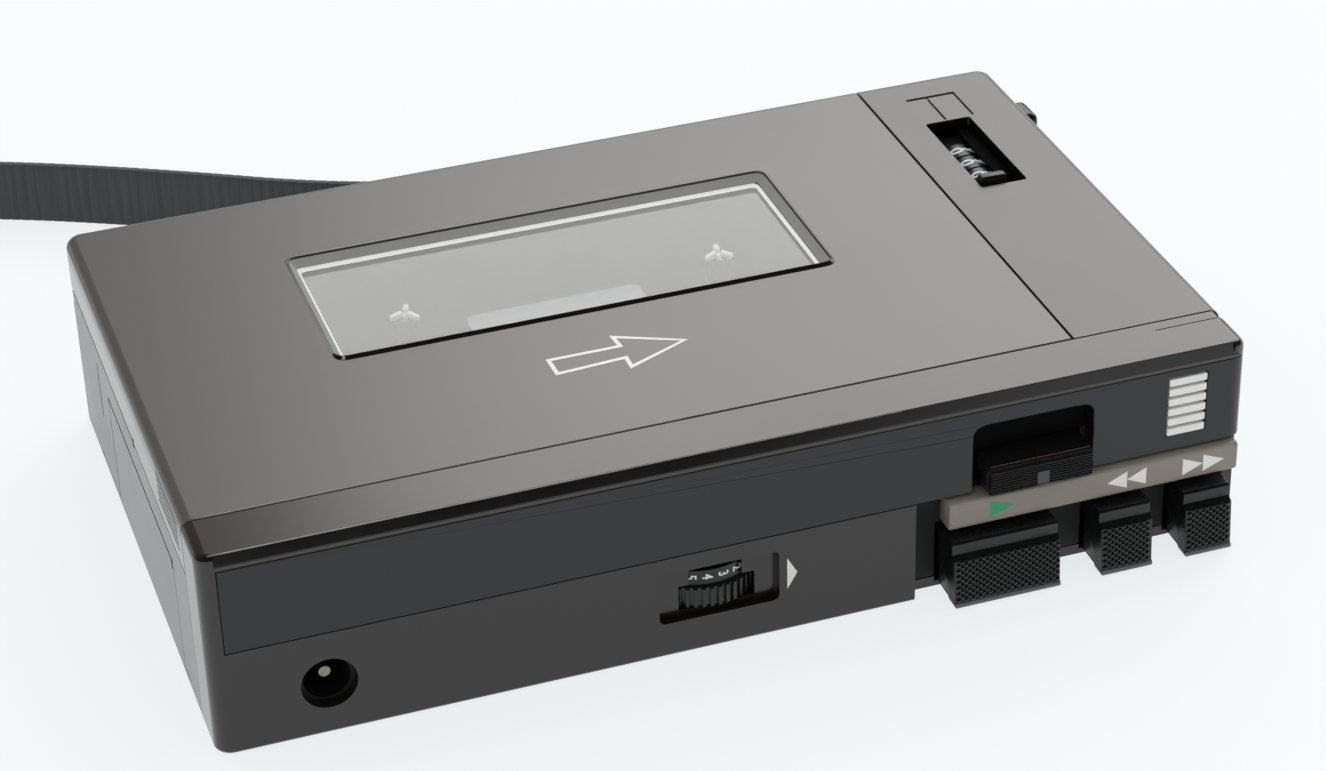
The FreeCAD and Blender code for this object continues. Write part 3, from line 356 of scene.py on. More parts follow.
class Finishes:
    """Every finish on the recorder, named for its material and how its surface was made."""

    # Spark-eroded ABS: dark warm grey with a broad sheen, its 0.1 mm pits drawn at 0.3 mm to show
    door = SpeckledDoor("satin_abs_door", "4a4745", 0.42, "4d4a48", 30.0, 0.5, 0.3, 0.008, coat=0.85,
                        coat_roughness=0.3, rough_swing=0.015)
    # The same moulding on the fixed panel, a shade darker and less glossy
    panel = Finish("satin_abs_panel", "3d3b39", 0.42, "403e3c", 30.0, 0.5, 0.3, 0.008, coat=0.75,
                   coat_roughness=0.3, rough_swing=0.015)
    # Polished ABS strip: a deeper red-brown with a tighter reflection
    frame = Finish("polished_abs_frame", "1b1314", 0.23, "1e1516", 30.0, 0.5, 0.5, 0.001, coat=0.35,
                   coat_roughness=0.19, rough_swing=0.02)
    # Lightly grained ABS of the rear cover, nearly black, with a faint mould gloss
    cover = Finish("grained_abs_cover", "0f0e0f", 0.26, "121112", 20.0, 0.5, 0.45, 0.002, coat=0.12,
                   coat_roughness=0.12, rough_swing=0.02)
    # Hard-coated plate, smooth and black
    plate = Finish("lacquered_plate", "18181a", 0.22, "1b1b1d", 20.0, 0.4, 0.4, 0.001, rough_swing=0.02)
    # Key plastic: acetal, black with a faint waxy sheen
    key = Finish("acetal_key", "121214", 0.28, "161618", 2.5, 0.5, 0.25, 0.002)
    # Near black painted shade on the facet of the frame's near edge and in the ring round the window, with a
    # tight reflection, and the light brown line under the frame's edge, a painted highlight
    black_edge = Finish("painted_shade_black_edge", "0a0a0a", 0.08, "0d0c0c", 10.0, 0.5, 0.5, 0.0005,
                        rough_swing=0.02)
    brown_edge = Finish("painted_highlight_brown_line", "46403b", 0.4, "4b443f", 10.0, 0.5, 0.3, 0.001)
    # Pale lines on moulding edges: painted highlights where the edges catch the lamp
    worn = Finish("painted_highlight_edge", "a9a7a2", 0.3, "94928d", 1.2, 0.7, 0.1, 0.002)
    # Brown on the stop button's upper edge: a painted highlight
    brown_rib = Finish("painted_highlight_brown_rib", "66574d", 0.4, "5a4c43", 1.5, 0.6, 0.15, 0.002)
    # Near black painted shade laid into recesses and openings where the case lies in shade
    lining = Finish("painted_shade_sheet", "070707", 0.95, "0a0a0a", 2.0, 0.5, 0.2, 0.01, ior=1.3)
    # Pale grey on the edge of the key's lip: a painted reflection of the white table
    lip = Finish("painted_reflection_lip", "5c5f61", 0.4, "66696b", 1.5, 0.6, 0.2, 0.003)
    # Painted bar in warm taupe
    bar = Finish("painted_taupe_bar", "8a847a", 0.42, "938d84", 4.0, 0.5, 0.3, 0.002)
    # Screen-printed ink, slightly uneven in cover
    white_ink = Finish("white_screen_ink", "f2f2ef", 0.5, "e6e6e2", 0.8, 0.6, 0.15, 0.002)
    drum_ink = Finish("pale_drum_ink", "d3e0e4", 0.4, "c6d4d8", 0.8, 0.6, 0.15, 0.002)
    green_ink = Finish("green_screen_ink", "2f9a6c", 0.5, "37a677", 0.8, 0.6, 0.15, 0.002)
    grey_ink = Finish("grey_screen_ink", "424346", 0.5, "494a4d", 0.8, 0.6, 0.15, 0.002)
    # White ABS of the microphone bars
    white = Finish("white_abs", "f3f3f1", 0.38, "ededeb", 3.0, 0.5, 0.2, 0.002)
    # Plain dark inner mouldings
    inner = Finish("inner_abs", "0f0f10", 0.7, "151516", 5.0, 0.5, 0.4, 0.006)
    # Acetal reel hubs, dark grey and slightly glossy; on the vanes this dark also stands in as painted shade
    # on their sides
    hub = Finish("grey_acetal_hub", "1f2021", 0.5, "252627", 3.0, 0.5, 0.3, 0.002)
    # Zinc-plated sheet: drawn grain along X and cloudy plating
    sheet = Finish("zinc_plated_sheet", "8b8d8f", 0.38, "a5a7a8", 5.0, 0.8, 0.12, 0.002, (12.0, 1.0, 1.0),
                   metallic=1.0, rough_swing=0.1)
    # Chassis sheet, painted black with orange peel at 0.6 mm, and the blackened hinge pin and spring
    painted = Finish("black_painted_sheet", "131314", 0.85, "171718", 8.0, 0.5, 0.6, 0.004)
    # Ground and polished steel shafts
    polished = Finish("polished_steel", "c4c5c6", 0.16, "b4b5b6", 2.0, 0.5, 0.08, 0.0006, (1.0, 1.0, 8.0),
                      metallic=1.0, rough_swing=0.05)
    # Permalloy head shell, polished with fine lines along X
    head = Finish("polished_head_shell", "b3b3b2", 0.2, "9fa0a0", 3.0, 0.5, 0.06, 0.0006, (8.0, 1.0, 1.0),
                  metallic=1.0, rough_swing=0.06)
    # Sintered bronze: dull and porous
    bronze = Finish("sintered_bronze", "a47c46", 0.45, "8c6a3c", 0.6, 0.7, 0.12, 0.004, metallic=1.0)
    # Moulded rubber, ground on its rim
    rubber = Finish("ground_rubber", "161616", 0.72, "202020", 1.0, 0.6, 0.12, 0.006)
    # Phenolic laminate with a lacquered solder side
    board = Finish("phenolic_board", "5e3f1f", 0.42, "4b3117", 3.5, 0.8, 0.3, 0.004)
    # Grey paper label on the chassis
    label = Finish("grey_paper_label", "c6c7c9", 0.7, "bcbdbf", 1.5, 0.5, 0.1, 0.003)
    # Shrink film on the cells
    jacket = Finish("cell_shrink_film", "33383d", 0.28, "2b2f33", 10.0, 0.6, 0.5, 0.002, metallic=0.3)
    # Clear styrene of the window
    clear = ClearMoulding("clear_styrene", "f6f7f8", 0.02, "f0f1f2", 20.0, 0.3, 2.0, 0.0004, ior=1.46,
                          rough_swing=0.005)
    # Bevelled edge of the window plate, frosted, its light grey also a painted reflection of the light that
    # the bevel catches: it shows as a light grey line
    rim = Finish("frosted_bevel_painted_reflection", "959695", 0.45, "9a9b9a", 6.0, 0.5, 0.3, 0.001)
    # Nickelled pin of the power socket, dulled by use
    pin = Finish("dulled_nickel_pin", "a3977f", 0.4, "8f846e", 0.6, 0.6, 0.1, 0.002, metallic=1.0)
    # Nylon webbing: each rib is a bright pad over a dark groove
    webbing = WovenNylon("ribbed_nylon_webbing", "4a4f52", 0.62, "2b2f32", relief_mm=0.03, sheen=0.25,
                         rough_swing=0.1)
    # White sweep under the recorder
    table = BackdropPaper("white_table_paper", "f0f2f2", 0.6, "eef0f0", 60.0, 0.5, 0.8, 0.002)


# Meshes


def object_from(name: str, points: np.ndarray, faces: list[tuple[int, ...]] | np.ndarray,
                smooth_angle: float = 35.0) -> bpy.types.Object:
    """Makes an object with its place in its mesh, closed up and with its normals outwards.

    Args:
        name: the piece's name.
        points: n by 3 array in millimetres.
        faces: corner numbers of each face.
        smooth_angle: edges sharper than this many degrees stay sharp.

    Returns:
        The new object, at the origin.
    """
    mesh = bpy.data.meshes.new(name)
    mesh.from_pydata((np.asarray(points, float) * MM).tolist(), [], [tuple(map(int, f)) for f in faces])
    shape = bmesh.new()
    shape.from_mesh(mesh)
    bmesh.ops.remove_doubles(shape, verts=shape.verts, dist=MERGE_NEW)
    bmesh.ops.recalc_face_normals(shape, faces=shape.faces)
    shape.to_mesh(mesh)
    shape.free()
    mesh.shade_smooth()
    mesh.set_sharp_from_angle(angle=math.radians(smooth_angle))
    piece = bpy.data.objects.new(name, mesh)
    bpy.context.scene.collection.objects.link(piece)
    return piece


def grid_faces(rows: int, columns: int, wrap_rows: bool = False, wrap_columns: bool = False) -> np.ndarray:
    """The quads between neighbouring points of a grid.

    Args:
        rows: number of rows of points.
        columns: number of points in a row.
        wrap_rows: the last row joins the first.
        wrap_columns: the last column joins the first.

    Returns:
        An array of four corner numbers a face.
    """
    row = np.arange(rows if wrap_rows else rows - 1)[:, None]
    column = np.arange(columns if wrap_columns else columns - 1)[None, :]
    below, beside = (row + 1) % rows, (column + 1) % columns
    corners = [row * columns + column, below * columns + column, below * columns + beside,
               row * columns + beside]
    return np.stack(np.broadcast_arrays(*corners), -1).reshape(-1, 4)


def lofted(name: str, rings: np.ndarray, smooth_angle: float = 35.0) -> bpy.types.Object:
    """A closed solid through a stack of closed rings, with a flat face on its first and last ring.

    Args:
        name: the piece's name.
        rings: m by n by 3 array, m rings of n points in millimetres.
        smooth_angle: edges sharper than this stay sharp.

    Returns:
        The new object.
    """
    count, around = rings.shape[:2]
    faces = [tuple(f) for f in grid_faces(count, around, wrap_columns=True)]
    faces.append(tuple(range(around)))
    faces.append(tuple(range((count - 1) * around, count * around)))
    return object_from(name, rings.reshape(-1, 3), faces, smooth_angle)


def rounded_outline(corners: np.ndarray, radius: float, steps: int = 4) -> np.ndarray:
    """Rounds each corner of a closed outline with a quadratic arc.

    A corner C between neighbours A and B starts at a distance r towards A and ends r towards B; its
    points are (1-t)^2 start + 2t(1-t) C + t^2 end.

    Args:
        corners: n by 2 array.
        radius: how far the arc reaches along each side, cut to a third of the shorter side.
        steps: points per corner.

    Returns:
        An array of n times steps points.
    """
    here = np.asarray(corners, float)
    before, after = np.roll(here, 1, 0) - here, np.roll(here, -1, 0) - here
    sides = np.linalg.norm(before, axis=1), np.linalg.norm(after, axis=1)
    reach = np.minimum(radius, np.minimum(*sides) / 3)[:, None]
    start, end = here + before / sides[0][:, None] * reach, here + after / sides[1][:, None] * reach
    t = np.linspace(0, 1, steps)[None, :, None]
    arcs = (1 - t) ** 2 * start[:, None] + 2 * t * (1 - t) * here[:, None] + t ** 2 * end[:, None]
    return arcs.reshape(-1, 2)


def inset(outline: np.ndarray, depth: float) -> np.ndarray:
    """Moves a closed outline inwards along its corner normals.

    A corner's normal is the sum n = a + b of the unit normals of its two sides, and the corner
    moves by depth n / (n . b), which keeps the sides parallel; n . b is at least a half, so that
    a sharp corner doesn't shoot off.

    Args:
        outline: n by 2 array in millimetres, in either sense of turn.
        depth: how far in, or out if it is negative.

    Returns:
        The moved outline.
    """
    before, after = outline - np.roll(outline, 1, 0), np.roll(outline, -1, 0) - outline
    x, y = outline.T
    turn = np.sign(np.sum(x * np.roll(y, -1) - y * np.roll(x, -1)))
    edge = [np.stack((-v[:, 1], v[:, 0]), 1) / np.maximum(np.linalg.norm(v, axis=1), 1e-9)[:, None]
            for v in (before, after)]
    normal = edge[0] + edge[1]
    scale = np.maximum(np.sum(normal * edge[1], 1), 0.5)[:, None]
    return outline + turn * depth * normal / scale


def prism(name: str, outline: np.ndarray, low: float, high: float, edge: float = 0.15) -> bpy.types.Object:
    """An outline carried along X, with both ends rounded off.

    Ring k of an end is the outline drawn in by edge (1 - sin a) and set in by edge (1 - cos a),
    with a from 0 to a quarter turn.

    Args:
        name: the piece's name.
        outline: n by 2 array in Y and Z, in millimetres.
        low: start along X.
        high: end along X.
        edge: the radius at the ends.

    Returns:
        The new object.
    """
    angles = np.linspace(0, math.pi / 2, 3)
    stations = [(low + edge * (1 - math.cos(a)), edge * (1 - math.sin(a))) for a in angles]
    stations += [(high - edge * (1 - math.cos(a)), edge * (1 - math.sin(a))) for a in angles[::-1]]
    rings = [np.column_stack((np.full(len(outline), place), inset(outline, depth)))
             for place, depth in stations]
    return lofted(name, np.array(rings), 40.0)


def turned(name: str, profile: np.ndarray, centre: tuple[float, float], sides: int = 64) -> bpy.types.Object:
    """A profile turned about an upright axis, closed at both ends.

    Args:
        name: the piece's name.
        profile: n by 2 array of radius and level, in millimetres.
        centre: X and Y of the axis.
        sides: points around.

    Returns:
        The new object.
    """
    angle = np.linspace(0, 2 * math.pi, sides, endpoint=False)
    radius, level = np.asarray(profile, float).T
    rings = np.stack((centre[0] + radius[:, None] * np.cos(angle),
                      centre[1] + radius[:, None] * np.sin(angle),
                      np.broadcast_to(level[:, None], (len(level), sides))), -1)
    return lofted(name, rings)


def flat_patches(shape: bmesh.types.BMesh, least_width: float = 0.8) -> list[list[bmesh.types.BMFace]]:
    """Groups of coplanar faces that are wider than the strips of a curved wall.

    Args:
        shape: the mesh, in metres.
        least_width: area over reach, in millimetres, from which a group counts as flat.

    Returns:
        One list of faces for each flat group.
    """
    patches, seen = [], set()
    for first in shape.faces:
        if first in seen:
            continue
        seen.add(first)
        patch, waiting = [], [first]
        while waiting:
            face = waiting.pop()
            patch.append(face)
            for edge in face.edges:
                if len(edge.link_faces) != 2 or edge.calc_face_angle(1.0) > LEVEL:
                    continue
                for other in edge.link_faces:
                    if other not in seen:
                        seen.add(other)
                        waiting.append(other)
        places = np.array([corner.co[:] for face in patch for corner in face.verts])
        reach = np.linalg.norm(places.max(0) - places.min(0))
        if sum(face.calc_area() for face in patch) / reach > least_width * MM:
            patches.append(patch)
    return patches


def even_normals(shape: bmesh.types.BMesh, corner_angle: float) -> list[Vector]:
    """Normals for the faces' corners, so that flat faces look flat and the roundings run into them.

    A flat face keeps its own normal, a rounding takes that normal over where the two meet, and
    elsewhere a normal n = sum(a_i n_i) over the faces i of area a_i round the corner that are within
    the angle.

    Args:
        shape: the mesh, in metres.
        corner_angle: the angle in degrees from which two faces meet in a sharp corner.

    Returns:
        One normal for each corner, in the order of the faces.
    """
    flat = {face for patch in flat_patches(shape) for face in patch}
    limit = math.cos(math.radians(corner_angle))
    normals = []
    for face in shape.faces:
        for corner in face.loops:
            near = [other for other in corner.vert.link_faces if other.normal.dot(face.normal) > limit]
            level = [other for other in near if other in flat]
            if face in flat or not near:
                normals.append(face.normal.copy())
            elif level:
                normals.append(max(level, key=lambda other: other.calc_area()).normal.copy())
            else:
                mean = sum((other.normal * other.calc_area() for other in near), Vector())
                normals.append(mean.normalized())
    return normals


def softened(frame: dict, node: str, width: float) -> bpy.types.Object:
    """A copy of a CAD node whose sharp edges are broken, so that they catch the light.

    Args:
        node: the CAD node's name.
        width: the width of the broken edge; 0 leaves the edges as the CAD has them.

    Returns:
        The copy, which isn't yet placed on a body.
    """
    mesh = frame["nodes"][node].data.copy()
    mesh.materials.clear()
    mesh.name = node + "_shell"
    shape = bmesh.new()
    shape.from_mesh(mesh)
    bmesh.ops.remove_doubles(shape, verts=shape.verts, dist=MERGE_CAD)
    bmesh.ops.recalc_face_normals(shape, faces=shape.faces)
    for face in shape.faces:
        face.smooth = True
    normals = [] if width else even_normals(shape, SHARP)
    shape.to_mesh(mesh)
    shape.free()
    piece = bpy.data.objects.new(node + "_shell", mesh)
    bpy.context.scene.collection.objects.link(piece)
    mesh.set_sharp_from_angle(angle=math.radians(SHARP))
    if not width:
        loaded = mesh.attributes.get("custom_normal")
        if loaded:
            mesh.attributes.remove(loaded)
        mesh.normals_split_custom_set(normals)
        return piece
    bevel = piece.modifiers.new("broken_edges", "BEVEL")
    bevel.width = width * MM
    bevel.segments = 2
    bevel.limit_method = "ANGLE"
    bevel.angle_limit = math.radians(BROKEN)
    bevel.use_clamp_overlap = False
    bevel.face_strength_mode = "FSTR_ALL"
    even = piece.modifiers.new("flat_faces_stay_flat", "WEIGHTED_NORMAL")
    even.mode = "FACE_AREA"
    even.weight = 100
    even.keep_sharp = True
    even.use_face_influence = True
    return piece


def dress(piece: bpy.types.Object, finish: Finish) -> bpy.types.Object:
    """Gives a piece or CAD node one finish all over.

    Args:
        piece: the piece or node.
        finish: its surface.

    Returns:
        The same piece.
    """
    if piece.data.materials:
        for number in range(len(piece.data.materials)):
            piece.data.materials[number] = finish.material()
    else:
        piece.data.materials.append(finish.material())
    return piece


def settle(piece: bpy.types.Object, body: str, slot: str, finish: Finish,
           *stands_for: str) -> bpy.types.Object:
    """Finishes a piece: its material, the body it rides on, and the CAD nodes that it stands for.

    Args:
        piece: the new piece.
        body: the CAD body that it moves with.
        slot: the record's material slot; not used.
        finish: its surface.
        stands_for: CAD nodes that it hides.

    Returns:
        The same piece.
    """
    dress(piece, finish)
    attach(piece, body)
    if stands_for:
        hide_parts(*stands_for)
    LOG.info("%s rides on %s%s", piece.name, body, " for " + ", ".join(stands_for) if stands_for else "")
    return piece


def printed(name: str, outline: np.ndarray, place: np.ndarray, across: np.ndarray, up: np.ndarray,
            thickness: float = 0.03) -> bpy.types.Object:
    """A flat print with a small thickness, laid on a plane.

    A point (a, b) of the outline lies at place + a across + b up, and the print's top is raised by
    the thickness along across x up.

    Args:
        name: the piece's name.
        outline: n by 2 array in millimetres.
        place: the plane's origin.
        across: unit vector to the right.
        up: unit vector upwards.
        thickness: how proud the ink stands.

    Returns:
        The new object.
    """
    normal = np.cross(across, up)
    flat = place + outline[:, :1] * across + outline[:, 1:] * up
    return lofted(name, np.array((flat - SUNK * normal, flat + thickness * normal)), 20.0)


def line_loop(name: str, outline: np.ndarray, width: float, place: np.ndarray, across: np.ndarray,
              up: np.ndarray, thickness: float = 0.03) -> bpy.types.Object:
    """A closed printed line: the band between an outline grown and shrunk by half its width.

    Args:
        name: the piece's name.
        outline: n by 2 array in millimetres.
        width: the line's width.
        place: the plane's origin.
        across: unit vector to the right.
        up: unit vector upwards.
        thickness: how proud the ink stands.

    Returns:
        The new object.
    """
    normal = np.cross(across, up)
    bands = [inset(outline, depth) for depth in (width / 2, -width / 2)]
    inner, outer = (place + band[:, :1] * across + band[:, 1:] * up for band in bands)
    rings = np.array((inner - SUNK * normal, inner + thickness * normal, outer + thickness * normal,
                      outer - SUNK * normal))
    return object_from(name, rings.reshape(-1, 3), grid_faces(4, len(outline), True, True), 20.0)


def figures(text: str, height: float, thickness: float = 0.03, bold: float = 0.02) -> Shape:
    """The points and faces of a figure, centred on its own origin, from Blender's own typeface.

    Args:
        text: the characters.
        height: their height in millimetres.
        thickness: how proud the ink stands.
        bold: how much each stroke grows, as a share of the height.

    Returns:
        Points in millimetres, with x to the right, y up and z proud, and the faces.
    """
    curve = bpy.data.curves.new("figure", "FONT")
    curve.body = text
    curve.size = height / CAPITAL
    curve.extrude = thickness / 2
    curve.offset = bold * height
    holder = bpy.data.objects.new("figure", curve)
    bpy.context.scene.collection.objects.link(holder)
    graph = bpy.context.evaluated_depsgraph_get()
    mesh = bpy.data.meshes.new_from_object(holder.evaluated_get(graph))
    points = np.empty(len(mesh.vertices) * 3)
    mesh.vertices.foreach_get("co", points)
    points = points.reshape(-1, 3)
    faces = [tuple(face.vertices) for face in mesh.polygons]
    bpy.data.objects.remove(holder)
    bpy.data.curves.remove(curve)
    bpy.data.meshes.remove(mesh)
    points[:, :2] -= (points[:, :2].min(0) + points[:, :2].max(0)) / 2
    return points, faces


def joined(name: str, parts: list[Shape]) -> bpy.types.Object:
    """One object from several shapes.

    Args:
        name: the piece's name.
        parts: the shapes, each with its own corner numbers.

    Returns:
        The new object.
    """
    points, faces, start = [], [], 0
    for own_points, own_faces in parts:
        points.append(own_points)
        faces += [tuple(start + corner for corner in face) for face in own_faces]
        start += len(own_points)
    return object_from(name, np.vstack(points), faces, 30.0)


# The room


@dataclass
class Studio:
    """Camera, table and lights."""

    lens: float = 92.5
    eye: tuple[float, float, float] = (-113.773, -357.122, 245.649)
    right: tuple[float, float, float] = (0.945101, -0.325846, -0.024681)
    down: tuple[float, float, float] = (-0.191874, -0.492209, -0.849067)
    room_near: str = "1c1a19"
    room_far: str = "8a847e"
    soft_light: float = 0.72
    table_half: float = 3000.0
    table_level: float = -0.02

    def camera(self) -> None:
        """Sets the camera at the photograph's place, with its right and down directions as given."""
        data = bpy.data.cameras.new("camera")
        data.lens, data.sensor_width = self.lens, 36.0
        data.clip_start, data.clip_end = 0.01, 20.0
        holder = bpy.data.objects.new("camera", data)
        bpy.context.scene.collection.objects.link(holder)
        right, up = np.array(self.right), -np.array(self.down)
        turn = np.eye(4)
        turn[:3, :3] = np.column_stack((right, up, np.cross(right, up)))
        turn[:3, 3] = np.array(self.eye) * MM
        holder.matrix_world = Matrix(turn.tolist())
        bpy.context.scene.camera = holder

    def table(self) -> None:
        """A wide white table at the level of the recorder's underside."""
        ticks = np.linspace(-self.table_half, self.table_half, 9)
        x, y = np.meshgrid(ticks, ticks, indexing="ij")
        points = np.stack((x, y, np.full_like(x, self.table_level)), -1).reshape(-1, 3)
        mesh = bpy.data.meshes.new("table")
        mesh.from_pydata((points * MM).tolist(), [], grid_faces(len(ticks), len(ticks)).tolist())
        table = bpy.data.objects.new("table", mesh)
        bpy.context.scene.collection.objects.link(table)
        mesh.flip_normals()
        dress(table, Finishes.table)

    def lamp(self, name: str, direction: tuple[float, float], distance: float, size: tuple[float, float],
             radiance: float, roll: float = 0.0) -> None:
        """An oblong lamp that faces the recorder.

        Args:
            name: the lamp's name.
            direction: bearing clockwise from +Y and height above the table, in degrees.
            distance: from the recorder, in metres.
            size: width and height in metres.
            radiance: its brightness, of which 1 is white; the power is radiance times pi times area.
            roll: turn about its own axis, in degrees, which lowers its left side as the camera sees it.
        """
        data = bpy.data.lights.new(name, "AREA")
        data.shape = "RECTANGLE"
        data.size, data.size_y = size
        data.energy = radiance * math.pi * size[0] * size[1]
        holder = bpy.data.objects.new(name, data)
        bpy.context.scene.collection.objects.link(holder)
        bearing, height = (math.radians(a) for a in direction)
        back = np.array((math.sin(bearing) * math.cos(height), math.cos(bearing) * math.cos(height),
                         math.sin(height)))
        level = np.cross(Z, back)
        level /= np.linalg.norm(level)
        steep = np.cross(back, level)
        lean = math.radians(roll)
        side = level * math.cos(lean) - steep * math.sin(lean)
        turn = np.eye(4)
        turn[:3, :3] = np.column_stack((side, np.cross(back, side), back))
        turn[:3, 3] = back * distance
        holder.matrix_world = Matrix(turn.tolist())

    def world(self) -> None:
        """An even soft light; the camera, mirrors and glass see a dim room over a white horizon.

        The room is near black on the camera's side and grey-brown beyond the table. Just above
        the table's level it turns white, so that the table seems to go on.
        """
        world = bpy.data.worlds.new("dim_studio")
        bpy.context.scene.world = world
        world.use_nodes = True
        tree = world.node_tree
        tree.nodes.clear()
        way = add_node(tree, "ShaderNodeTexCoord").outputs["Generated"]
        parts = add_node(tree, "ShaderNodeSeparateXYZ", links={"Vector": way}).outputs
        beyond = add_node(tree, "ShaderNodeMapRange", values={"From Min": 0.1, "From Max": 0.8},
                          links={"Value": parts["Y"]})
        room = add_node(tree, "ShaderNodeMix", {"data_type": "RGBA"},
                        {"A": linear(self.room_near), "B": linear(self.room_far)},
                        {"Factor": beyond.outputs["Result"]})
        above = add_node(tree, "ShaderNodeMapRange", {"interpolation_type": "SMOOTHSTEP"},
                         {"From Min": 0.0, "From Max": 0.06}, {"Value": parts["Z"]})
        seen = add_node(tree, "ShaderNodeMix", {"data_type": "RGBA"}, {"A": linear("ffffff")},
                        {"Factor": above.outputs["Result"], "B": room.outputs["Result"]})
        plain = add_node(tree, "ShaderNodeMix", {"data_type": "RGBA"}, {"A": (self.soft_light,) * 3 + (1.0,)},
                         {"Factor": seen_directly(tree), "B": seen.outputs["Result"]})
        light = add_node(tree, "ShaderNodeBackground", links={"Color": plain.outputs["Result"]})
        add_node(tree, "ShaderNodeOutputWorld", links={"Surface": light.outputs["Background"]})

    def build(self) -> None:
        """Camera, table, world and the lamps."""
        self.camera()
        self.table()
        self.world()
        self.lamp("back_softbox", direction=(42.0, 33.0), distance=1.5, size=(1.5, 0.8), radiance=2.8,
                  roll=-22.0)
        self.lamp("top_softbox", direction=(-20.0, 75.0), distance=1.4, size=(0.3, 0.3), radiance=4.5)
        bpy.context.scene.view_settings.view_transform = "Standard"


# The strap


@dataclass
class WristStrap:
    """Ribbed webbing on its edge, which leaves the back wall and closes in a hand loop."""

    width: float = 9.5
    thickness: float = 1.3
    rib_pitch: float = 1.6
    rib_depth: float = 0.22
    stations_per_rib: int = 7
    around: int = 28
    route: tuple[tuple[float, float, float], ...] = (
        (55.0, 41.4, 6.6), (55.0, 49.4, 6.5), (48.6, 57.4, 6.2), (34.0, 61.6, 5.7), (6.0, 64.4, 5.2),
        (-21.0, 73.0, 5.0), (-45.0, 88.0, 4.8), (-70.0, 101.0, 4.8), (-94.0, 107.0, 5.75),
        (-118.0, 116.0, 5.75), (-140.0, 124.0, 5.0), (-163.0, 120.0, 4.8), (-176.0, 102.0, 4.8),
        (-176.0, 78.0, 4.8), (-164.0, 58.0, 4.8), (-143.0, 55.0, 4.8), (-129.0, 71.0, 4.8),
        (-126.0, 93.0, 5.1), (-117.8, 114.3, 5.75), (-101.85, 108.34, 5.75),
    )

    def centre_line(self) -> np.ndarray:
        """The NURBS curve that the route steers, as points in millimetres.

        Returns:
            An n by 3 array.
        """
        curve = bpy.data.curves.new("strap_line", "CURVE")
        curve.dimensions = "3D"
        curve.resolution_u = 24
        spline = curve.splines.new("NURBS")
        spline.points.add(len(self.route) - 1)
        weights = np.column_stack((np.array(self.route) * MM, np.ones(len(self.route))))
        spline.points.foreach_set("co", weights.ravel())
        spline.order_u = 3
        spline.use_endpoint_u = True
        holder = bpy.data.objects.new("strap_line", curve)
        bpy.context.scene.collection.objects.link(holder)
        graph = bpy.context.evaluated_depsgraph_get()
        mesh = bpy.data.meshes.new_from_object(holder.evaluated_get(graph))
        points = np.empty(len(mesh.vertices) * 3)
        mesh.vertices.foreach_get("co", points)
        bpy.data.objects.remove(holder)
        bpy.data.curves.remove(curve)
        bpy.data.meshes.remove(mesh)
        return points.reshape(-1, 3) / MM

    def band(self, line: np.ndarray) -> tuple[bpy.types.Object, float]:
        """Carries the ribbed section along the line.

        Around the section, a turn t gives (half thickness |cos t|^0.25, half width |sin t|^0.6), a
        flat band with rounded selvedges. Along the line at distance s the half thickness swells
        by the rib depth times |sin(pi s / pitch)|^0.4, which is broad pads with narrow grooves.

        Args:
            line: the centre line.

        Returns:
            The band and its length in millimetres.
        """
        steps = np.linalg.norm(np.diff(line, axis=0), axis=1)
        reach = np.concatenate(([0.0], np.cumsum(steps)))
        count = int(reach[-1] / self.rib_pitch * self.stations_per_rib)
        s = np.linspace(0, reach[-1], count)
        centre = np.stack([np.interp(s, reach, line[:, k]) for k in range(3)], 1)
        heading = np.gradient(centre, axis=0)
        for _ in range(3):
            heading = (np.roll(heading, 1, 0) + heading * 2 + np.roll(heading, -1, 0)) / 4
            heading[0], heading[-1] = heading[1], heading[-2]
        aside = np.cross(heading, Z)
        aside /= np.linalg.norm(aside, axis=1)[:, None]
        turn = np.linspace(0, 2 * math.pi, self.around, endpoint=False)
        flat, tall = np.cos(turn), np.sin(turn)
        swell = np.abs(np.sin(math.pi * s / self.rib_pitch)) ** 0.4
        half = self.thickness / 2 - self.rib_depth * (1 - swell)
        thick = half[:, None] * np.sign(flat) * np.abs(flat) ** 0.25
        high = np.broadcast_to(self.width / 2 * np.sign(tall) * np.abs(tall) ** 0.6, thick.shape)
        points = centre[:, None] + thick[..., None] * aside[:, None] + high[..., None] * Z
        band = lofted("strap_webbing", points, 60.0)
        self.lay_uv(band, centre)
        return band, float(reach[-1])

    def lay_uv(self, band: bpy.types.Object, centre: np.ndarray) -> None:
        """Gives the band a UV map: distance along the line, and height, both in metres.

        Args:
            band: the band, whose points come in rings of around points, one ring a station.
            centre: the stations on the centre line, in millimetres.
        """
        mesh = band.data
        place = np.empty(len(mesh.vertices) * 3)
        mesh.vertices.foreach_get("co", place)
        place = place.reshape(-1, 3) / MM
        row = np.minimum(np.arange(len(place)) // self.around, len(centre) - 1)
        steps = np.concatenate(([0.0], np.cumsum(np.linalg.norm(np.diff(centre, axis=0), axis=1))))
        flat = np.stack((steps[row], place[:, 2]), 1) * MM
        corner = np.empty(len(mesh.loops), np.int32)
        mesh.loops.foreach_get("vertex_index", corner)
        layer = mesh.uv_layers.new(name="band")
        layer.data.foreach_set("uv", flat[corner].astype(np.float32).ravel())

    def build(self, frame: dict) -> None:
        """The band, whose length goes to the log, and the sleeve that closes its loop.
        """
        dress(frame["nodes"]["strap_keeper"], Finishes.inner)
        line = self.centre_line()
        band, length = self.band(line)
        settle(band, "case", "webbing", Finishes.webbing, "strap")
        LOG.info("strap centre line is %.1f mm long", length)


# The case


@dataclass(frozen=True)
class Band:
    """A strip along X on the case, by its outline in Y and Z, its ends, finish and material slot."""

    name: str
    outline: tuple[tuple[float, float], ...]
    low: float
    high: float
    finish: str
    slot: str


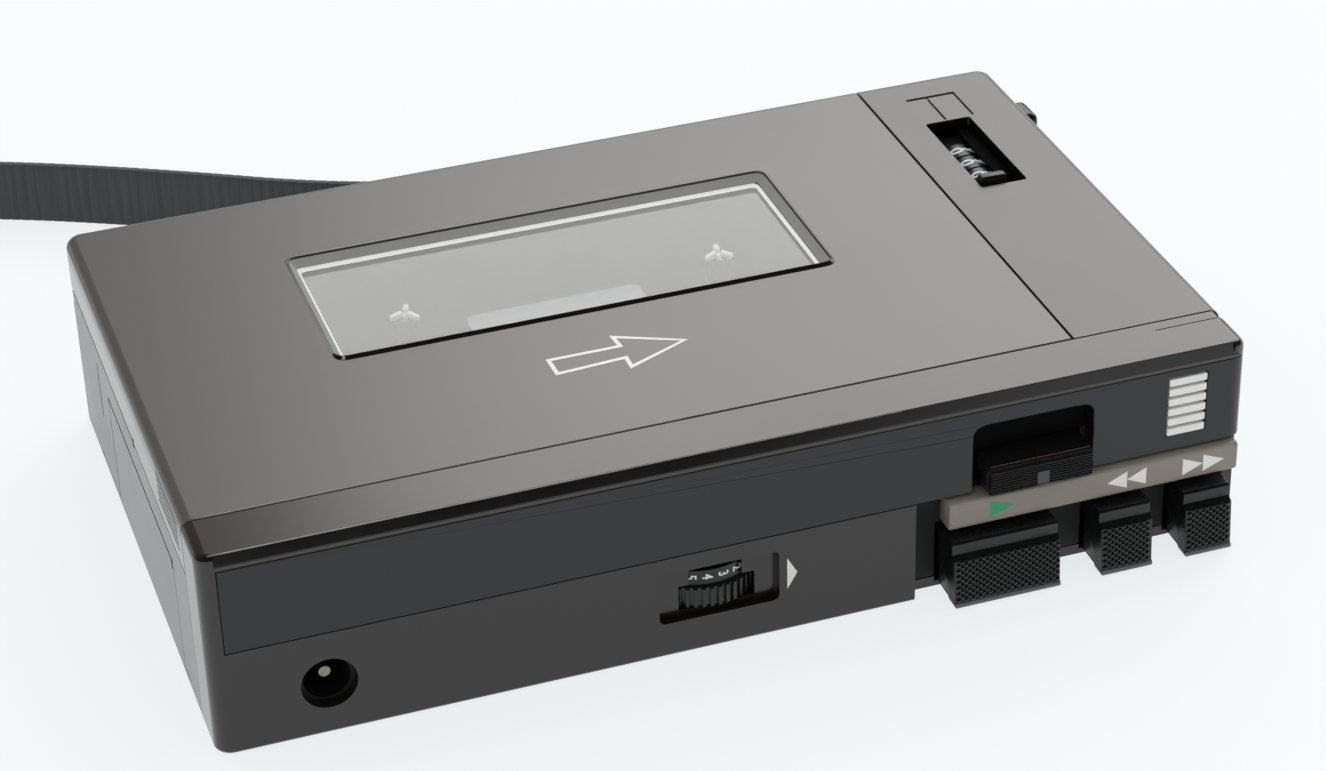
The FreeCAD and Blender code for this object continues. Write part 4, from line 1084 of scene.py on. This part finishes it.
@dataclass(frozen=True)
class WornEdge:
    """A painted highlight line along X: the body and slot that it belongs to, its ends, its Y and Z, and its
    width.
    """

    name: str
    body: str
    slot: str
    ends: tuple[float, float]
    place: tuple[float, float]
    width: float


@dataclass
class CaseShell:
    """The moulded pieces of the case, with their prints, edges, painted highlights and painted shade."""

    top: float = 28.0
    near: float = -40.5
    arrow: tuple[tuple[float, float], ...] = (
        (-15.9, -13.6), (-15.8, -17.0), (-6.8, -16.4), (-6.8, -18.7), (1.3, -15.1), (-6.8, -11.2),
        (-6.6, -13.6),
    )
    arrow_line: float = 0.55
    marker: tuple[tuple[float, float], ...] = ((5.1, 6.2), (6.4, 8.4), (5.1, 10.7))
    broken_edge: float = 0.14
    unbroken: tuple[str, ...] = ("top_panel", "rear_cover", "front_frame")
    shells: dict[str, tuple[str, str, str]] = field(default_factory=lambda: {
        "cassette_door": ("door", "door_plastic", "door"),
        "top_panel": ("case", "door_plastic", "panel"),
        "front_frame": ("case", "frame_plastic", "frame"),
        "side_plate": ("case", "plate_plastic", "plate"),
        "rear_cover": ("case", "cover_plastic", "cover"),
        "battery_lid": ("battery_lid", "cover_plastic", "cover"),
        "key_bezel": ("case", "inner_plastic", "inner"),
        "microphone_grille": ("case", "white_plastic", "white"),
        "record_button": ("record", "key_plastic", "key"),
    })
    bands: tuple[Band, ...] = (
        # A near black strip of painted shade on the facet of the frame's near edge, and under it a light
        # brown painted highlight line
        Band("frame_edge_shade_band", ((-40.52, 26.62), (-40.08, 27.93), (-39.98, 27.9), (-40.42, 26.6)),
             -64.0, 64.0, "black_edge", "frame_plastic"),
        Band("frame_edge_highlight_line", ((-40.54, 26.12), (-40.54, 26.42), (-40.4, 26.42), (-40.4, 26.12)),
             -64.0, 64.6, "brown_edge", "frame_plastic"),
        # Near black painted shade on the walls of the stop button's recess and over the far side of the
        # counter drums
        Band("stop_back_shade", ((-38.26, 19.1), (-38.26, 24.5), (-38.15, 24.5), (-38.15, 19.1)),
             29.5, 45.0, "lining", "inner_plastic"),
        Band("stop_right_shade", ((-40.3, 19.1), (-40.3, 22.1), (-38.2, 22.1), (-38.2, 19.1)),
             45.12, 45.18, "lining", "inner_plastic"),
        Band("counter_drum_shade", ((12.4, 26.1), (12.4, 26.3), (26.9, 26.3), (26.9, 26.1)),
             55.8, 57.65, "lining", "inner_plastic"),
    )
    band_edge: float = 0.02
    # Pale painted highlights along the near edges of the frame and the door
    worn: tuple[WornEdge, ...] = (
        WornEdge("frame_edge_glint", "case", "frame_plastic", (-64.6, 20.0), (-40.02, 27.97), 0.16),
        WornEdge("door_edge_glint", "door", "door_plastic", (-64.2, -5.0), (-32.1, 27.99), 0.14),
    )
    worn_lead: float = 2.0
    worn_narrow: float = 0.03
    # Painted shade round the counter's opening: its outline, its floor and brim levels and its thickness
    opening: tuple[tuple[float, float], ...] = ((51.1, 7.5), (57.7, 7.5), (57.7, 27.0), (51.1, 27.0))
    opening_floor: float = 26.82
    opening_brim: float = 27.86
    felt: float = 0.04

    def build(self, frame: dict) -> None:
        """Builds the mouldings, the arrow, the volume mark, the bands of painted shade and highlight, the
        painted highlight lines and the painted shade round the counter.
        """
        for node, (body, slot, finish) in self.shells.items():
            shell = softened(frame, node, 0.0 if node in self.unbroken else self.broken_edge)
            settle(shell, body, slot, getattr(Finishes, finish), node)
        arrow = line_loop("door_arrow", np.array(self.arrow), self.arrow_line, self.top * Z, X, Y)
        settle(arrow, "door", "label_paper", Finishes.white_ink)
        marker = printed("volume_marker", np.array(self.marker), self.near * Y, X, Z)
        settle(marker, "case", "label_paper", Finishes.white_ink)
        for band in self.bands:
            strip = prism(band.name, np.array(band.outline), band.low, band.high, self.band_edge)
            settle(strip, "case", band.slot, getattr(Finishes, band.finish))
        for edge in self.worn:
            settle(self.worn_line(edge), edge.body, edge.slot, Finishes.worn)
        settle(self.counter_lining(), "case", "inner_plastic", Finishes.lining)

    def worn_line(self, edge: WornEdge) -> bpy.types.Object:
        """A painted highlight line that grows from worn_narrow to its width within worn_lead, and narrows to
        its end.

        Args:
            edge: the line's name and measures.

        Returns:
            The new object.
        """
        start, end = edge.ends
        turn = np.linspace(0, 2 * math.pi, 8, endpoint=False)
        rings = [np.stack((np.full(len(turn), x), edge.place[0] + size / 2 * np.cos(turn),
                           edge.place[1] + size / 2 * np.sin(turn)), 1)
                 for x, size in ((start, self.worn_narrow), (start + self.worn_lead, edge.width),
                                 (end, self.worn_narrow))]
        return lofted(edge.name, np.array(rings), 60.0)

    def counter_lining(self) -> bpy.types.Object:
        """Painted shade round the counter's opening: four rings that close on themselves.

        Returns:
            The new object.
        """
        outline = np.array(self.opening)
        rings = [np.column_stack((inset(outline, depth), np.full(len(outline), level))) for depth, level in (
            (self.felt, self.opening_floor), (self.felt, self.opening_brim), (0.0, self.opening_brim),
            (0.0, self.opening_floor))]
        return object_from("counter_lining", np.concatenate(rings), grid_faces(4, len(outline), True, True))


@dataclass
class Window:
    """The clear plate in the door with its printed border, its bevel and a ring of painted shade round it."""

    left: float = -39.1
    right: float = 24.2
    front: float = -2.6
    back: float = 21.8
    level: float = 26.8
    line: float = 0.6
    back_extra: float = 0.75
    corner: float = 1.0
    corner_steps: int = 5
    rim: tuple[tuple[float, float], ...] = ((-40.2, -3.8), (25.7, -3.8), (25.7, 23.0), (-40.2, 23.0))
    rim_radius: float = 1.6
    bevel: tuple[tuple[float, float], ...] = ((0.12, 27.72), (1.1, 26.81), (1.12, 26.86), (0.18, 27.78))
    # A near black ring round the rim on the door's top: painted shade where the rim's rounding reflects the
    # dark room
    seam: tuple[tuple[float, float], ...] = ((-40.45, -4.5), (25.95, -4.5), (25.95, 23.3), (-40.45, 23.3))
    seam_radius: float = 1.8
    seam_ridge: float = 0.26
    door_top: float = 28.0
    thickness: float = 0.02

    def build(self, frame: dict) -> None:
        """Dresses the plate, prints its border and lays the bevel and a ring of painted shade round it.

        The border is wider by back_extra along its back; the bevel's rings are given by how far
        each lies within the rim, and its level.
        """
        dress(frame["nodes"]["door_window"], Finishes.clear)
        corners = np.array(((self.left, self.front), (self.right, self.front), (self.right, self.back),
                            (self.left, self.back)))
        line = rounded_outline(corners, self.corner, self.corner_steps)
        outer, inner = inset(line, -self.line / 2), inset(line, self.line / 2)
        at_back = inner[:, 1] > (self.front + self.back) / 2
        inner[:, 1] = np.where(at_back, inner[:, 1] - self.back_extra, inner[:, 1])
        self.ring("window_border", inner, outer, self.level, Finishes.white_ink, "label_paper")
        rim = rounded_outline(np.array(self.rim), self.rim_radius, self.corner_steps)
        rings = [np.column_stack((inset(rim, depth), np.full(len(rim), level)))
                 for depth, level in self.bevel]
        faces = grid_faces(len(rings), len(rim), True, True)
        # The bevel's light grey is partly painted reflection
        bevel = object_from("window_bevel", np.concatenate(rings), faces)
        settle(bevel, "door", "clear_plastic", Finishes.rim)
        # The ring of painted shade round the rim
        seam = rounded_outline(np.array(self.seam), self.seam_radius, self.corner_steps)
        self.ring("window_shade_ring", rim, seam, self.door_top, Finishes.black_edge, "clear_plastic",
                  self.seam_ridge)

    def ring(self, name: str, inner: np.ndarray, outer: np.ndarray, level: float, finish: Finish, slot: str,
             ridge: float = 0.0) -> None:
        """A flat band between two outlines with as many points each.

        Args:
            name: the piece's name.
            inner: its inner outline.
            outer: its outer outline.
            level: the surface that it lies on.
            finish: its surface.
            slot: the record's material slot.
            ridge: how much higher the inner outline stands on the near side.
        """
        rings = [np.column_stack((flat, np.full(len(flat), height))) for flat, height in (
            (inner, level - SUNK), (inner, level + self.thickness), (outer, level + self.thickness),
            (outer, level - SUNK))]
        rings[1][:, 2] += np.where(inner[:, 1] < self.front, ridge, 0.0)
        band = object_from(name, np.concatenate(rings), grid_faces(4, len(inner), True, True), 20.0)
        settle(band, "door", slot, finish)


# Keys and controls


@dataclass
class PianoKey:
    """One key: a smooth ledge above a sloping face of small domes, and a lip below it."""

    name: str
    body: str
    left: float
    right: float
    front: float = -44.4
    back: float = -35.6
    low: float = 1.0
    lip: float = 0.45
    high: float = 9.1
    foot: float = 0.62
    face_top: float = 7.0
    face_lean: float = 0.4
    ledge: float = 1.5
    heel: float = 2.6
    sole: float = 2.3
    toe: tuple[tuple[float, float], ...] = ((0.16, 0.0), (0.06, 0.5))
    shoulder: float = 0.4
    brow: float = 0.25
    corner: float = 0.2
    end_edge: float = 0.22
    knurl_pitch: float = 0.94
    knurl_row: float = 0.415
    knurl_height: float = 0.3
    knurl_margin: float = 0.4
    knurl_start: float = 0.55
    knurl_low: float = 0.95
    knurl_top: float = 0.05
    dome_rings: tuple[float, ...] = (0.0, 35.0, 65.0, 86.0)
    dome_sides: int = 8
    dome_wide: float = 0.47
    dome_tall: float = 0.94
    dome_sunk: float = 0.02
    # Outline, inset and end radius of the pale painted reflection on the lip
    worn_lip: tuple[tuple[float, float], ...] = ((0.6, -0.02), (0.03, -0.02), (0.0, 0.48), (0.3, 0.66))
    worn_inset: float = 0.05
    worn_edge: float = 0.1
    lever: tuple[tuple[float, float], ...] = ((-35.8, 5.6), (-26.0, 5.6), (-26.0, 8.6), (-35.8, 8.6))
    lever_half: float = 1.5

    def outline(self) -> np.ndarray:
        """The side view, from the underside round the lip, the face and the ledge to the top.

        Heel, sole and toe are distances behind the front; the toe's levels count from the lip. The
        ledge's foot is a shoulder above the face, and its top corner is cut off by brow.

        Returns:
            An n by 2 array of Y and Z, with its corners rounded.
        """
        face = self.front + self.knurl_height
        ledge = self.front + self.ledge
        toe = ((self.front + behind, self.lip + above) for behind, above in self.toe)
        corners = ((self.back, self.low), (self.front + self.heel, self.low),
                   (self.front + self.sole, self.lip), *toe, (face, self.lip + self.foot),
                   (face + self.face_lean, self.face_top), (ledge, self.face_top + self.shoulder),
                   (ledge, self.high - self.brow), (ledge + self.brow, self.high), (self.back, self.high))
        return rounded_outline(np.array(corners), self.corner)

    def knurl(self) -> Shape:
        """Low domes in rows that are staggered by half a pitch.

        A dome's ring at angle t of dome_rings has the half width dome_wide cos(t) of a pitch and the
        half height dome_tall cos(t) of a row. It stands proud of the face by sin(t) of the knurl's
        height, and the foot of the dome lies dome_sunk within the face.

        Returns:
            The points and faces of all domes.
        """
        rows = np.arange(self.lip + self.knurl_low, self.face_top - self.knurl_top, self.knurl_row)
        across = np.arange(self.left + self.knurl_start, self.right - self.knurl_margin, self.knurl_pitch)
        z, x = np.meshgrid(rows, across, indexing="ij")
        x = x + (np.arange(len(rows)) % 2)[:, None] * self.knurl_pitch / 2
        keep = x < self.right - self.knurl_margin
        x, z = x[keep][:, None, None], z[keep][:, None, None]
        rise = np.radians(self.dome_rings)[None, :, None]
        around = np.linspace(0, 2 * math.pi, self.dome_sides, endpoint=False)[None, None, :]
        wide = x + self.dome_wide * self.knurl_pitch * np.cos(rise) * np.cos(around)
        tall = z + self.dome_tall * self.knurl_row * np.cos(rise) * np.sin(around)
        up = (tall - self.lip - self.foot) / (self.face_top - self.foot - self.lip)
        face = self.front + self.knurl_height + self.face_lean * up
        sunk = self.dome_sunk
        proud = np.broadcast_to(face + sunk - (self.knurl_height + sunk) * np.sin(rise), wide.shape)
        points = np.stack((wide, proud, tall), -1).reshape(-1, 3)
        rings = len(self.dome_rings)
        first = rings * self.dome_sides * np.arange(len(x))[:, None]
        faces = (grid_faces(rings, self.dome_sides, False, True)[None] + first[:, :, None]).reshape(-1, 4)
        feet = np.arange(self.dome_sides)[None, :] + first
        caps = feet + (rings - 1) * self.dome_sides
        return points, [tuple(face) for face in faces] + [tuple(foot[::-1]) for foot in feet] + [
            tuple(cap) for cap in caps]

    def build(self) -> None:
        """The key's block, its knurl, its lip with a painted reflection and the lever behind it."""
        block = prism(self.name + "_block", self.outline(), self.left, self.right, self.end_edge)
        settle(block, self.body, "key_plastic", Finishes.key, self.name)
        points, faces = self.knurl()
        knurl = object_from(self.name + "_knurl", points, faces, 50.0)
        settle(knurl, self.body, "key_plastic", Finishes.key)
        # A pale strip along the lip: painted reflection of the table
        rim = rounded_outline(np.array(self.worn_lip) + (self.front, self.lip), 0.12, 3)
        lip = prism(self.name + "_lip", rim, self.left + self.worn_inset, self.right - self.worn_inset,
                    self.worn_edge)
        settle(lip, self.body, "key_plastic", Finishes.lip)
        middle = (self.left + self.right) / 2
        lever = prism(self.name + "_lever", rounded_outline(np.array(self.lever), 0.2, 3),
                      middle - self.lever_half, middle + self.lever_half)
        settle(lever, self.body, "key_plastic", Finishes.key)


@dataclass
class StopButton:
    """The stop and eject button: fine ribs along its front, and one small grey mark."""

    left: float = 30.6
    right: float = 44.2
    low: float = 14.8
    high: float = 18.75
    front: float = -42.9
    back: float = -34.6
    end_edge: float = 0.18
    rib_pitch: float = 0.36
    rib_depth: float = 0.16
    ribs_above: float = 0.2
    ribs_below: float = 0.5
    rib_points: int = 180
    slope: tuple[tuple[float, float], ...] = ((0.35, -0.1), (0.7, 0.0))
    foot: float = 0.25
    lever: tuple[tuple[float, float], ...] = ((-34.8, 16.6), (-31.0, 16.6), (-31.0, 18.6), (-34.8, 18.6))
    lever_ends: tuple[float, float] = (36.0, 39.0)
    # Outline, insets and end radius of the painted highlight on the upper edge
    worn: tuple[tuple[float, float], ...] = ((0.28, -0.2), (0.7, 0.02), (0.75, -0.06), (0.33, -0.28))
    worn_insets: tuple[float, float] = (0.25, 0.2)
    worn_edge: float = 0.02
    mark: tuple[tuple[float, float], ...] = ((36.8, 15.3), (38.35, 15.3), (38.35, 17.05), (36.8, 17.05))
    mark_lift: float = 0.005
    mark_thickness: float = 0.05

    def outline(self) -> np.ndarray:
        """The side view; the front goes back by rib_depth (1 - |cos(pi z / pitch)|) along its height.

        The slope above the ribs is given from the front's upper corner, and foot is how far behind
        the front the underside starts.

        Returns:
            An n by 2 array of Y and Z.
        """
        z = np.linspace(self.low + self.ribs_above, self.high - self.ribs_below, self.rib_points)
        y = self.front + self.rib_depth * (1 - np.abs(np.cos(math.pi * (z - self.low) / self.rib_pitch)))
        front = np.stack((y, z), 1)
        slope = np.array(self.slope) + (self.front, self.high)
        others = ((self.back, self.high), (self.back, self.low), (self.front + self.foot, self.low))
        return np.vstack((front, slope, others))

    def build(self) -> None:
        """The ribbed block, its lever, the painted brown highlight on its upper edge and its mark."""
        block = prism("stop_block", self.outline(), self.left, self.right, self.end_edge)
        settle(block, "stop", "key_plastic", Finishes.key, "stop_button")
        lever = prism("stop_lever", rounded_outline(np.array(self.lever), 0.2, 3), *self.lever_ends)
        settle(lever, "stop", "key_plastic", Finishes.key)
        # A brown strip along the upper front edge: painted highlight
        edge = prism("stop_edge_glint", np.array(self.worn) + (self.front, self.high),
                     self.left + self.worn_insets[0], self.right - self.worn_insets[1], self.worn_edge)
        settle(edge, "stop", "key_plastic", Finishes.brown_rib)
        mark = printed("stop_mark", rounded_outline(np.array(self.mark), 0.12, 3),
                       (self.front - self.mark_lift) * Y, X, Z, self.mark_thickness)
        settle(mark, "stop", "label_paper", Finishes.grey_ink)


@dataclass
class CueBar:
    """The painted bar above the keys, with the triangles for play, rewind and fast forward."""

    left: float = 25.9
    right: float = 64.9
    front: float = -41.4
    back: float = -38.2
    low: float = 10.0
    high: float = 13.9
    corner: float = 0.5
    end_edge: float = 0.25
    symbols: tuple[tuple[str, float, float, float, str], ...] = (
        ("play_symbol", 31.3, 34.5, 1.15, "green_ink"),
        ("rewind_symbol_a", 49.7, 47.0, 1.2, "white_ink"),
        ("rewind_symbol_b", 52.3, 49.7, 1.2, "white_ink"),
        ("forward_symbol_a", 57.3, 60.1, 1.2, "white_ink"),
        ("forward_symbol_b", 60.1, 63.0, 1.2, "white_ink"),
    )
    symbol_raise: float = 0.05

    def triangle(self, name: str, start: float, tip: float, half: float) -> bpy.types.Object:
        """A printed triangle, a little above the bar's middle level.

        Args:
            name: the piece's name.
            start: where its base stands along X.
            tip: where its tip is along X.
            half: half the length of its base.

        Returns:
            The new object.
        """
        middle = (self.low + self.high) / 2 + self.symbol_raise
        outline = np.array(((start, middle - half), (tip, middle), (start, middle + half)))
        return printed(name, outline[::-1] if tip < start else outline, self.front * Y, X, Z)

    def build(self) -> None:
        """The bar and its symbols."""
        corners = np.array(((self.back, self.low), (self.front, self.low), (self.front, self.high),
                            (self.back, self.high)))
        bar = prism("cue_bar_body", rounded_outline(corners, self.corner, 5), self.left, self.right,
                    self.end_edge)
        settle(bar, "case", "bar_plastic", Finishes.bar, "cue_bar")
        for name, start, tip, half, finish in self.symbols:
            settle(self.triangle(name, start, tip, half), "case", "label_paper", getattr(Finishes, finish))


@dataclass
class VolumeControl:
    """The thumb wheel, whose upper ring carries plain numbers."""

    centre: tuple[float, float] = (-3.9, -32.4)
    ring: float = 7.3
    level: float = 9.95
    height: float = 1.35
    width_share: float = 0.85
    lift: float = 0.01
    count: int = 11
    step: float = 16.0
    first: float = -90.0
    shown_at_rest: float = 3.57
    broken_edge: float = 0.06

    def numbers(self) -> bpy.types.Object:
        """Numbers from 0 round the ring, their tops towards falling numbers.

        A point (a, b, c) of a number at bearing q goes to the ring's surface at bearing
        q + b / radius, level minus width_share a, and radius plus lift plus c. Number n has the
        bearing first - step (n - shown_at_rest), so that the wheel shows between two numbers.

        Returns:
            The new object.
        """
        parts = []
        for number in range(self.count):
            points, faces = figures(str(number), self.height)
            bearing = math.radians(self.first - self.step * (number - self.shown_at_rest))
            around = bearing + points[:, 1] / self.ring
            radius = self.ring + self.lift + points[:, 2]
            placed = np.stack((self.centre[0] + radius * np.cos(around),
                               self.centre[1] + radius * np.sin(around),
                               self.level - points[:, 0] * self.width_share), 1)
            parts.append((placed, faces))
        return joined("volume_numbers", parts)

    def build(self, frame: dict) -> None:
        """Dresses the wheel and adds its numbers.
        """
        wheel = softened(frame, "volume_wheel", self.broken_edge)
        settle(wheel, "volume", "dial_plastic", Finishes.key, "volume_wheel")
        settle(self.numbers(), "volume", "label_paper", Finishes.white_ink)


@dataclass
class TapeCounter:
    """Three drums with white figures, and the cap and stem of the button that sets them to nought."""

    along: float = 54.4
    level: float = 22.6
    radius: float = 3.3
    start: float = 13.2
    pitch: float = 3.6
    drum: float = 3.2
    height: float = 1.95
    bold: float = 0.045
    lift: float = 0.01
    lean: float = -12.0
    drums: tuple[str, ...] = ("units", "tens", "hundreds")
    cap: tuple[tuple[float, float], ...] = (
        (8.2, 25.2), (8.2, 28.5), (8.5, 28.85), (9.6, 28.9), (10.1, 28.5), (10.4, 25.2))
    cap_ends: tuple[float, float] = (51.4, 55.1)
    cap_corner: float = 0.25
    cap_edge: float = 0.35
    stem: tuple[tuple[float, float], ...] = ((8.4, 19.5), (10.4, 19.5), (10.4, 25.4), (8.4, 25.4))
    stem_ends: tuple[float, float] = (53.2, 55.0)
    stem_edge: float = 0.05

    def digits(self, place: str, number: int) -> bpy.types.Object:
        """The figures 0 to 9 round one drum, the one near the top first.

        A point (a, b, c) of figure n goes to y = middle - a, to a turn of lean less n tenths of a
        circle plus b / radius about the drum's axis, and to radius plus lift plus c.

        Args:
            place: the drum's name.
            number: its place in the row, from the near one.

        Returns:
            The new object.
        """
        middle = self.start + number * self.pitch + self.drum / 2
        parts = []
        for figure in range(10):
            points, faces = figures(str(figure), self.height, bold=self.bold)
            turn = math.radians(self.lean) + points[:, 1] / self.radius - 2 * math.pi * figure / 10
            radius = self.radius + self.lift + points[:, 2]
            placed = np.stack((self.along + radius * np.sin(turn), middle - points[:, 0],
                               self.level + radius * np.cos(turn)), 1)
            parts.append((placed, faces))
        return joined("counter_figures_" + place, parts)

    def build(self, frame: dict) -> None:
        """Makes the button, dresses the drums and adds their figures.
        """
        outline = rounded_outline(np.array(self.cap), self.cap_corner)
        cap = prism("reset_cap", outline, *self.cap_ends, self.cap_edge)
        settle(cap, "reset", "key_plastic", Finishes.key, "counter_reset_button")
        stem = prism("reset_stem", np.array(self.stem), *self.stem_ends, self.stem_edge)
        settle(stem, "reset", "key_plastic", Finishes.key)
        for number, place in enumerate(self.drums):
            dress(frame["nodes"]["counter_drum_" + place], Finishes.key)
            settle(self.digits(place, number), place, "label_paper", Finishes.drum_ink)


@dataclass
class ReelHub:
    """One reel spindle: a white shaft on a disc, between three dark vanes with white tops. The shaft's white
    is a painted highlight, and the vanes' dark sides are painted shade under white tops, which also stand for
    the highlight on their top edges.

    The outlines are pairs of a distance from the axis and a level.
    """

    name: str
    body: str
    along: float
    bearing: float
    across: float = 9.6
    corner: float = 0.35
    post: tuple[tuple[float, float], ...] = (
        (1.05, 11.6), (5.6, 11.6), (6.0, 11.8), (6.0, 12.6), (5.7, 12.8), (3.0, 12.8), (2.2, 13.4),
        (2.1, 14.6), (1.8, 15.0), (1.05, 15.1))
    shaft: tuple[tuple[float, float], ...] = (
        (0.4, 14.9), (0.45, 15.2), (0.45, 23.6), (0.4, 23.8), (0.2, 23.9))
    fin: tuple[tuple[float, float], ...] = (
        (0.3, 14.9), (1.7, 14.9), (1.7, 21.6), (1.6, 23.5), (0.3, 23.6))
    tip: tuple[tuple[float, float], ...] = ((0.4, 23.7), (2.1, 23.5), (2.1, 24.2), (0.4, 24.5))

    def blade(self, name: str, number: int, corners: tuple[tuple[float, float], ...], half: float,
              edge: float) -> bpy.types.Object:
        """An upright plate that stands out of the post.

        Args:
            name: the piece's name.
            number: which third of a turn it stands at, counted from the first vane.
            corners: distance from the axis and level of its corners.
            half: half its thickness.
            edge: radius of its rounded edges.

        Returns:
            The new object.
        """
        angle = math.radians(self.bearing + 120 * number)
        outline = rounded_outline(np.array(corners), self.corner)
        rings = []
        for aside, depth in ((-half, edge), (-half + edge / 2, edge / 4), (-half + edge, 0.0),
                             (half - edge, 0.0), (half - edge / 2, edge / 4), (half, edge)):
            flat = inset(outline, depth)
            rings.append(np.stack((self.along + flat[:, 0] * math.cos(angle) - aside * math.sin(angle),
                                   self.across + flat[:, 0] * math.sin(angle) + aside * math.cos(angle),
                                   flat[:, 1]), 1))
        return lofted(name, np.array(rings), 50.0)

    def build(self) -> None:
        """The disc and boss, the shaft, and the vanes with their tops."""
        centre = (self.along, self.across)
        post = turned(self.name + "_post", np.array(self.post), centre)
        settle(post, self.body, "inner_plastic", Finishes.hub, self.name)
        shaft = turned(self.name + "_shaft", np.array(self.shaft), centre, sides=32)
        # The shaft's white is a painted highlight: the pale streak of light down the post
        settle(shaft, self.body, "inner_plastic", Finishes.white)
        for number in range(3):
            fin = self.blade("%s_fin_%d" % (self.name, number), number, self.fin, half=0.15, edge=0.05)
            # Dark vane sides are painted shade under the white tops, which also stand for the highlight on
            # their top edges
            settle(fin, self.body, "inner_plastic", Finishes.hub)
            tip = self.blade("%s_tip_%d" % (self.name, number), number, self.tip, half=0.36, edge=0.12)
            settle(tip, self.body, "white_plastic", Finishes.white)


@dataclass
class Screws:
    """Cross-head screws: the heads under the rear cover and over the chassis."""

    places: tuple[tuple[float, float], ...] = ((-61.5, 34.0), (42.6, 35.4), (43.0, -28.6), (-61.2, -29.6))
    cross_half: float = 0.22
    cross_reach: float = 0.9
    cross_depth: float = 0.3

    def head(self, name: str, place: tuple[float, float], base: float, radius: float,
             rise: float) -> bpy.types.Object:
        """A low dome with a sunk cross.

        Level over radius r and bearing q is base + rise (1 - (r / R)^2 / 2), less cross_depth where
        the point (u, v) lies within the cross: |u| < cross_half and |v| < cross_reach, or the other
        way round. A negative rise is a head that looks down.

        Args:
            name: the piece's name.
            place: X and Y of its axis.
            base: the level of its rim.
            radius: its radius R.
            rise: how far the dome stands out of the rim.

        Returns:
            The new object.
        """
        r = np.linspace(0, 1, 15)[:, None] * radius
        q = np.linspace(0, 2 * math.pi, 48, endpoint=False)[None, :]
        u, v = r * np.cos(q), r * np.sin(q)
        long_u = (np.abs(v) < self.cross_half) & (np.abs(u) < self.cross_reach)
        long_v = (np.abs(u) < self.cross_half) & (np.abs(v) < self.cross_reach)
        sink = math.copysign(self.cross_depth, rise) * (long_u | long_v)
        level = base + rise * (1 - (r / radius) ** 2 / 2) - sink
        points = np.stack(np.broadcast_arrays(place[0] + u, place[1] + v, level), -1)
        skirt = points[-1].copy()
        skirt[:, 2] = base
        return lofted(name, np.concatenate((points, skirt[None]), 0), 30.0)

    def build(self) -> None:
        """One head for each screw of the case and of the chassis."""
        for number, place in enumerate(self.places):
            below = self.head("case_screw_%d" % number, place, base=1.35, radius=1.55, rise=-0.5)
            settle(below, "case", "bright_steel", Finishes.polished)
            above = self.head("chassis_screw_%d" % number, place, base=16.2, radius=1.85, rise=0.35)
            settle(above, "case", "bright_steel", Finishes.polished)


@dataclass
class Works:
    """The CAD nodes that keep their own shape and only take a finish."""

    finishes: dict[str, str] = field(default_factory=lambda: {
        "chassis_plate": "painted", "reel_plate": "sheet", "capstan_bracket": "sheet", "head_plate": "sheet",
        "pinch_roller_arm": "sheet", "motor": "sheet", "flywheel": "sheet", "microphone_capsule": "sheet",
        "chassis_label": "label", "chassis_screws": "polished", "case_screws": "polished",
        "reel_shafts": "polished", "capstan": "polished", "counter_shaft": "polished",
        "dc_jack_pin": "pin", "battery_contacts": "polished", "door_hinge_pin": "painted",
        "door_spring": "painted", "cassette_springs": "polished", "record_play_head": "head",
        "capstan_bearing": "bronze", "motor_pulley": "bronze", "drive_belt": "rubber",
        "pinch_roller": "rubber", "idler_wheel": "rubber", "circuit_board": "board",
        "volume_pot": "inner", "speaker": "inner", "dc_jack": "inner", "earphone_jack": "inner",
        "microphone_jack": "inner", "counter_frame": "inner", "cassette_guides": "inner",
        "erase_head": "inner", "batteries": "jacket", "strap_anchor": "webbing",
    })

    def build(self, frame: dict) -> None:
        """Gives each node its finish.
        """
        for node, finish in self.finishes.items():
            dress(frame["nodes"][node], getattr(Finishes, finish))
            LOG.info("%s keeps its CAD shape in %s", node, finish)


def main() -> None:
    """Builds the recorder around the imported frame, piece by piece."""
    logging.basicConfig(level=logging.INFO, format="%(name)s: %(message)s")
    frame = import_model()
    Studio().build()
    WristStrap().build(frame)
    Works().build(frame)
    CaseShell().build(frame)
    Window().build(frame)
    PianoKey("play_key", "play", left=25.7, right=39.9).build()
    PianoKey("rewind_key", "rewind", left=45.4, right=52.4).build()
    PianoKey("forward_key", "forward", left=56.9, right=63.3).build()
    StopButton().build()
    CueBar().build()
    VolumeControl().build(frame)
    TapeCounter().build(frame)
    ReelHub("supply_spindle", "supply", along=-28.0, bearing=71.0).build()
    ReelHub("takeup_spindle", "takeup", along=14.5, bearing=80.0).build()
    Screws().build()


if __name__ == "__main__":
    main()
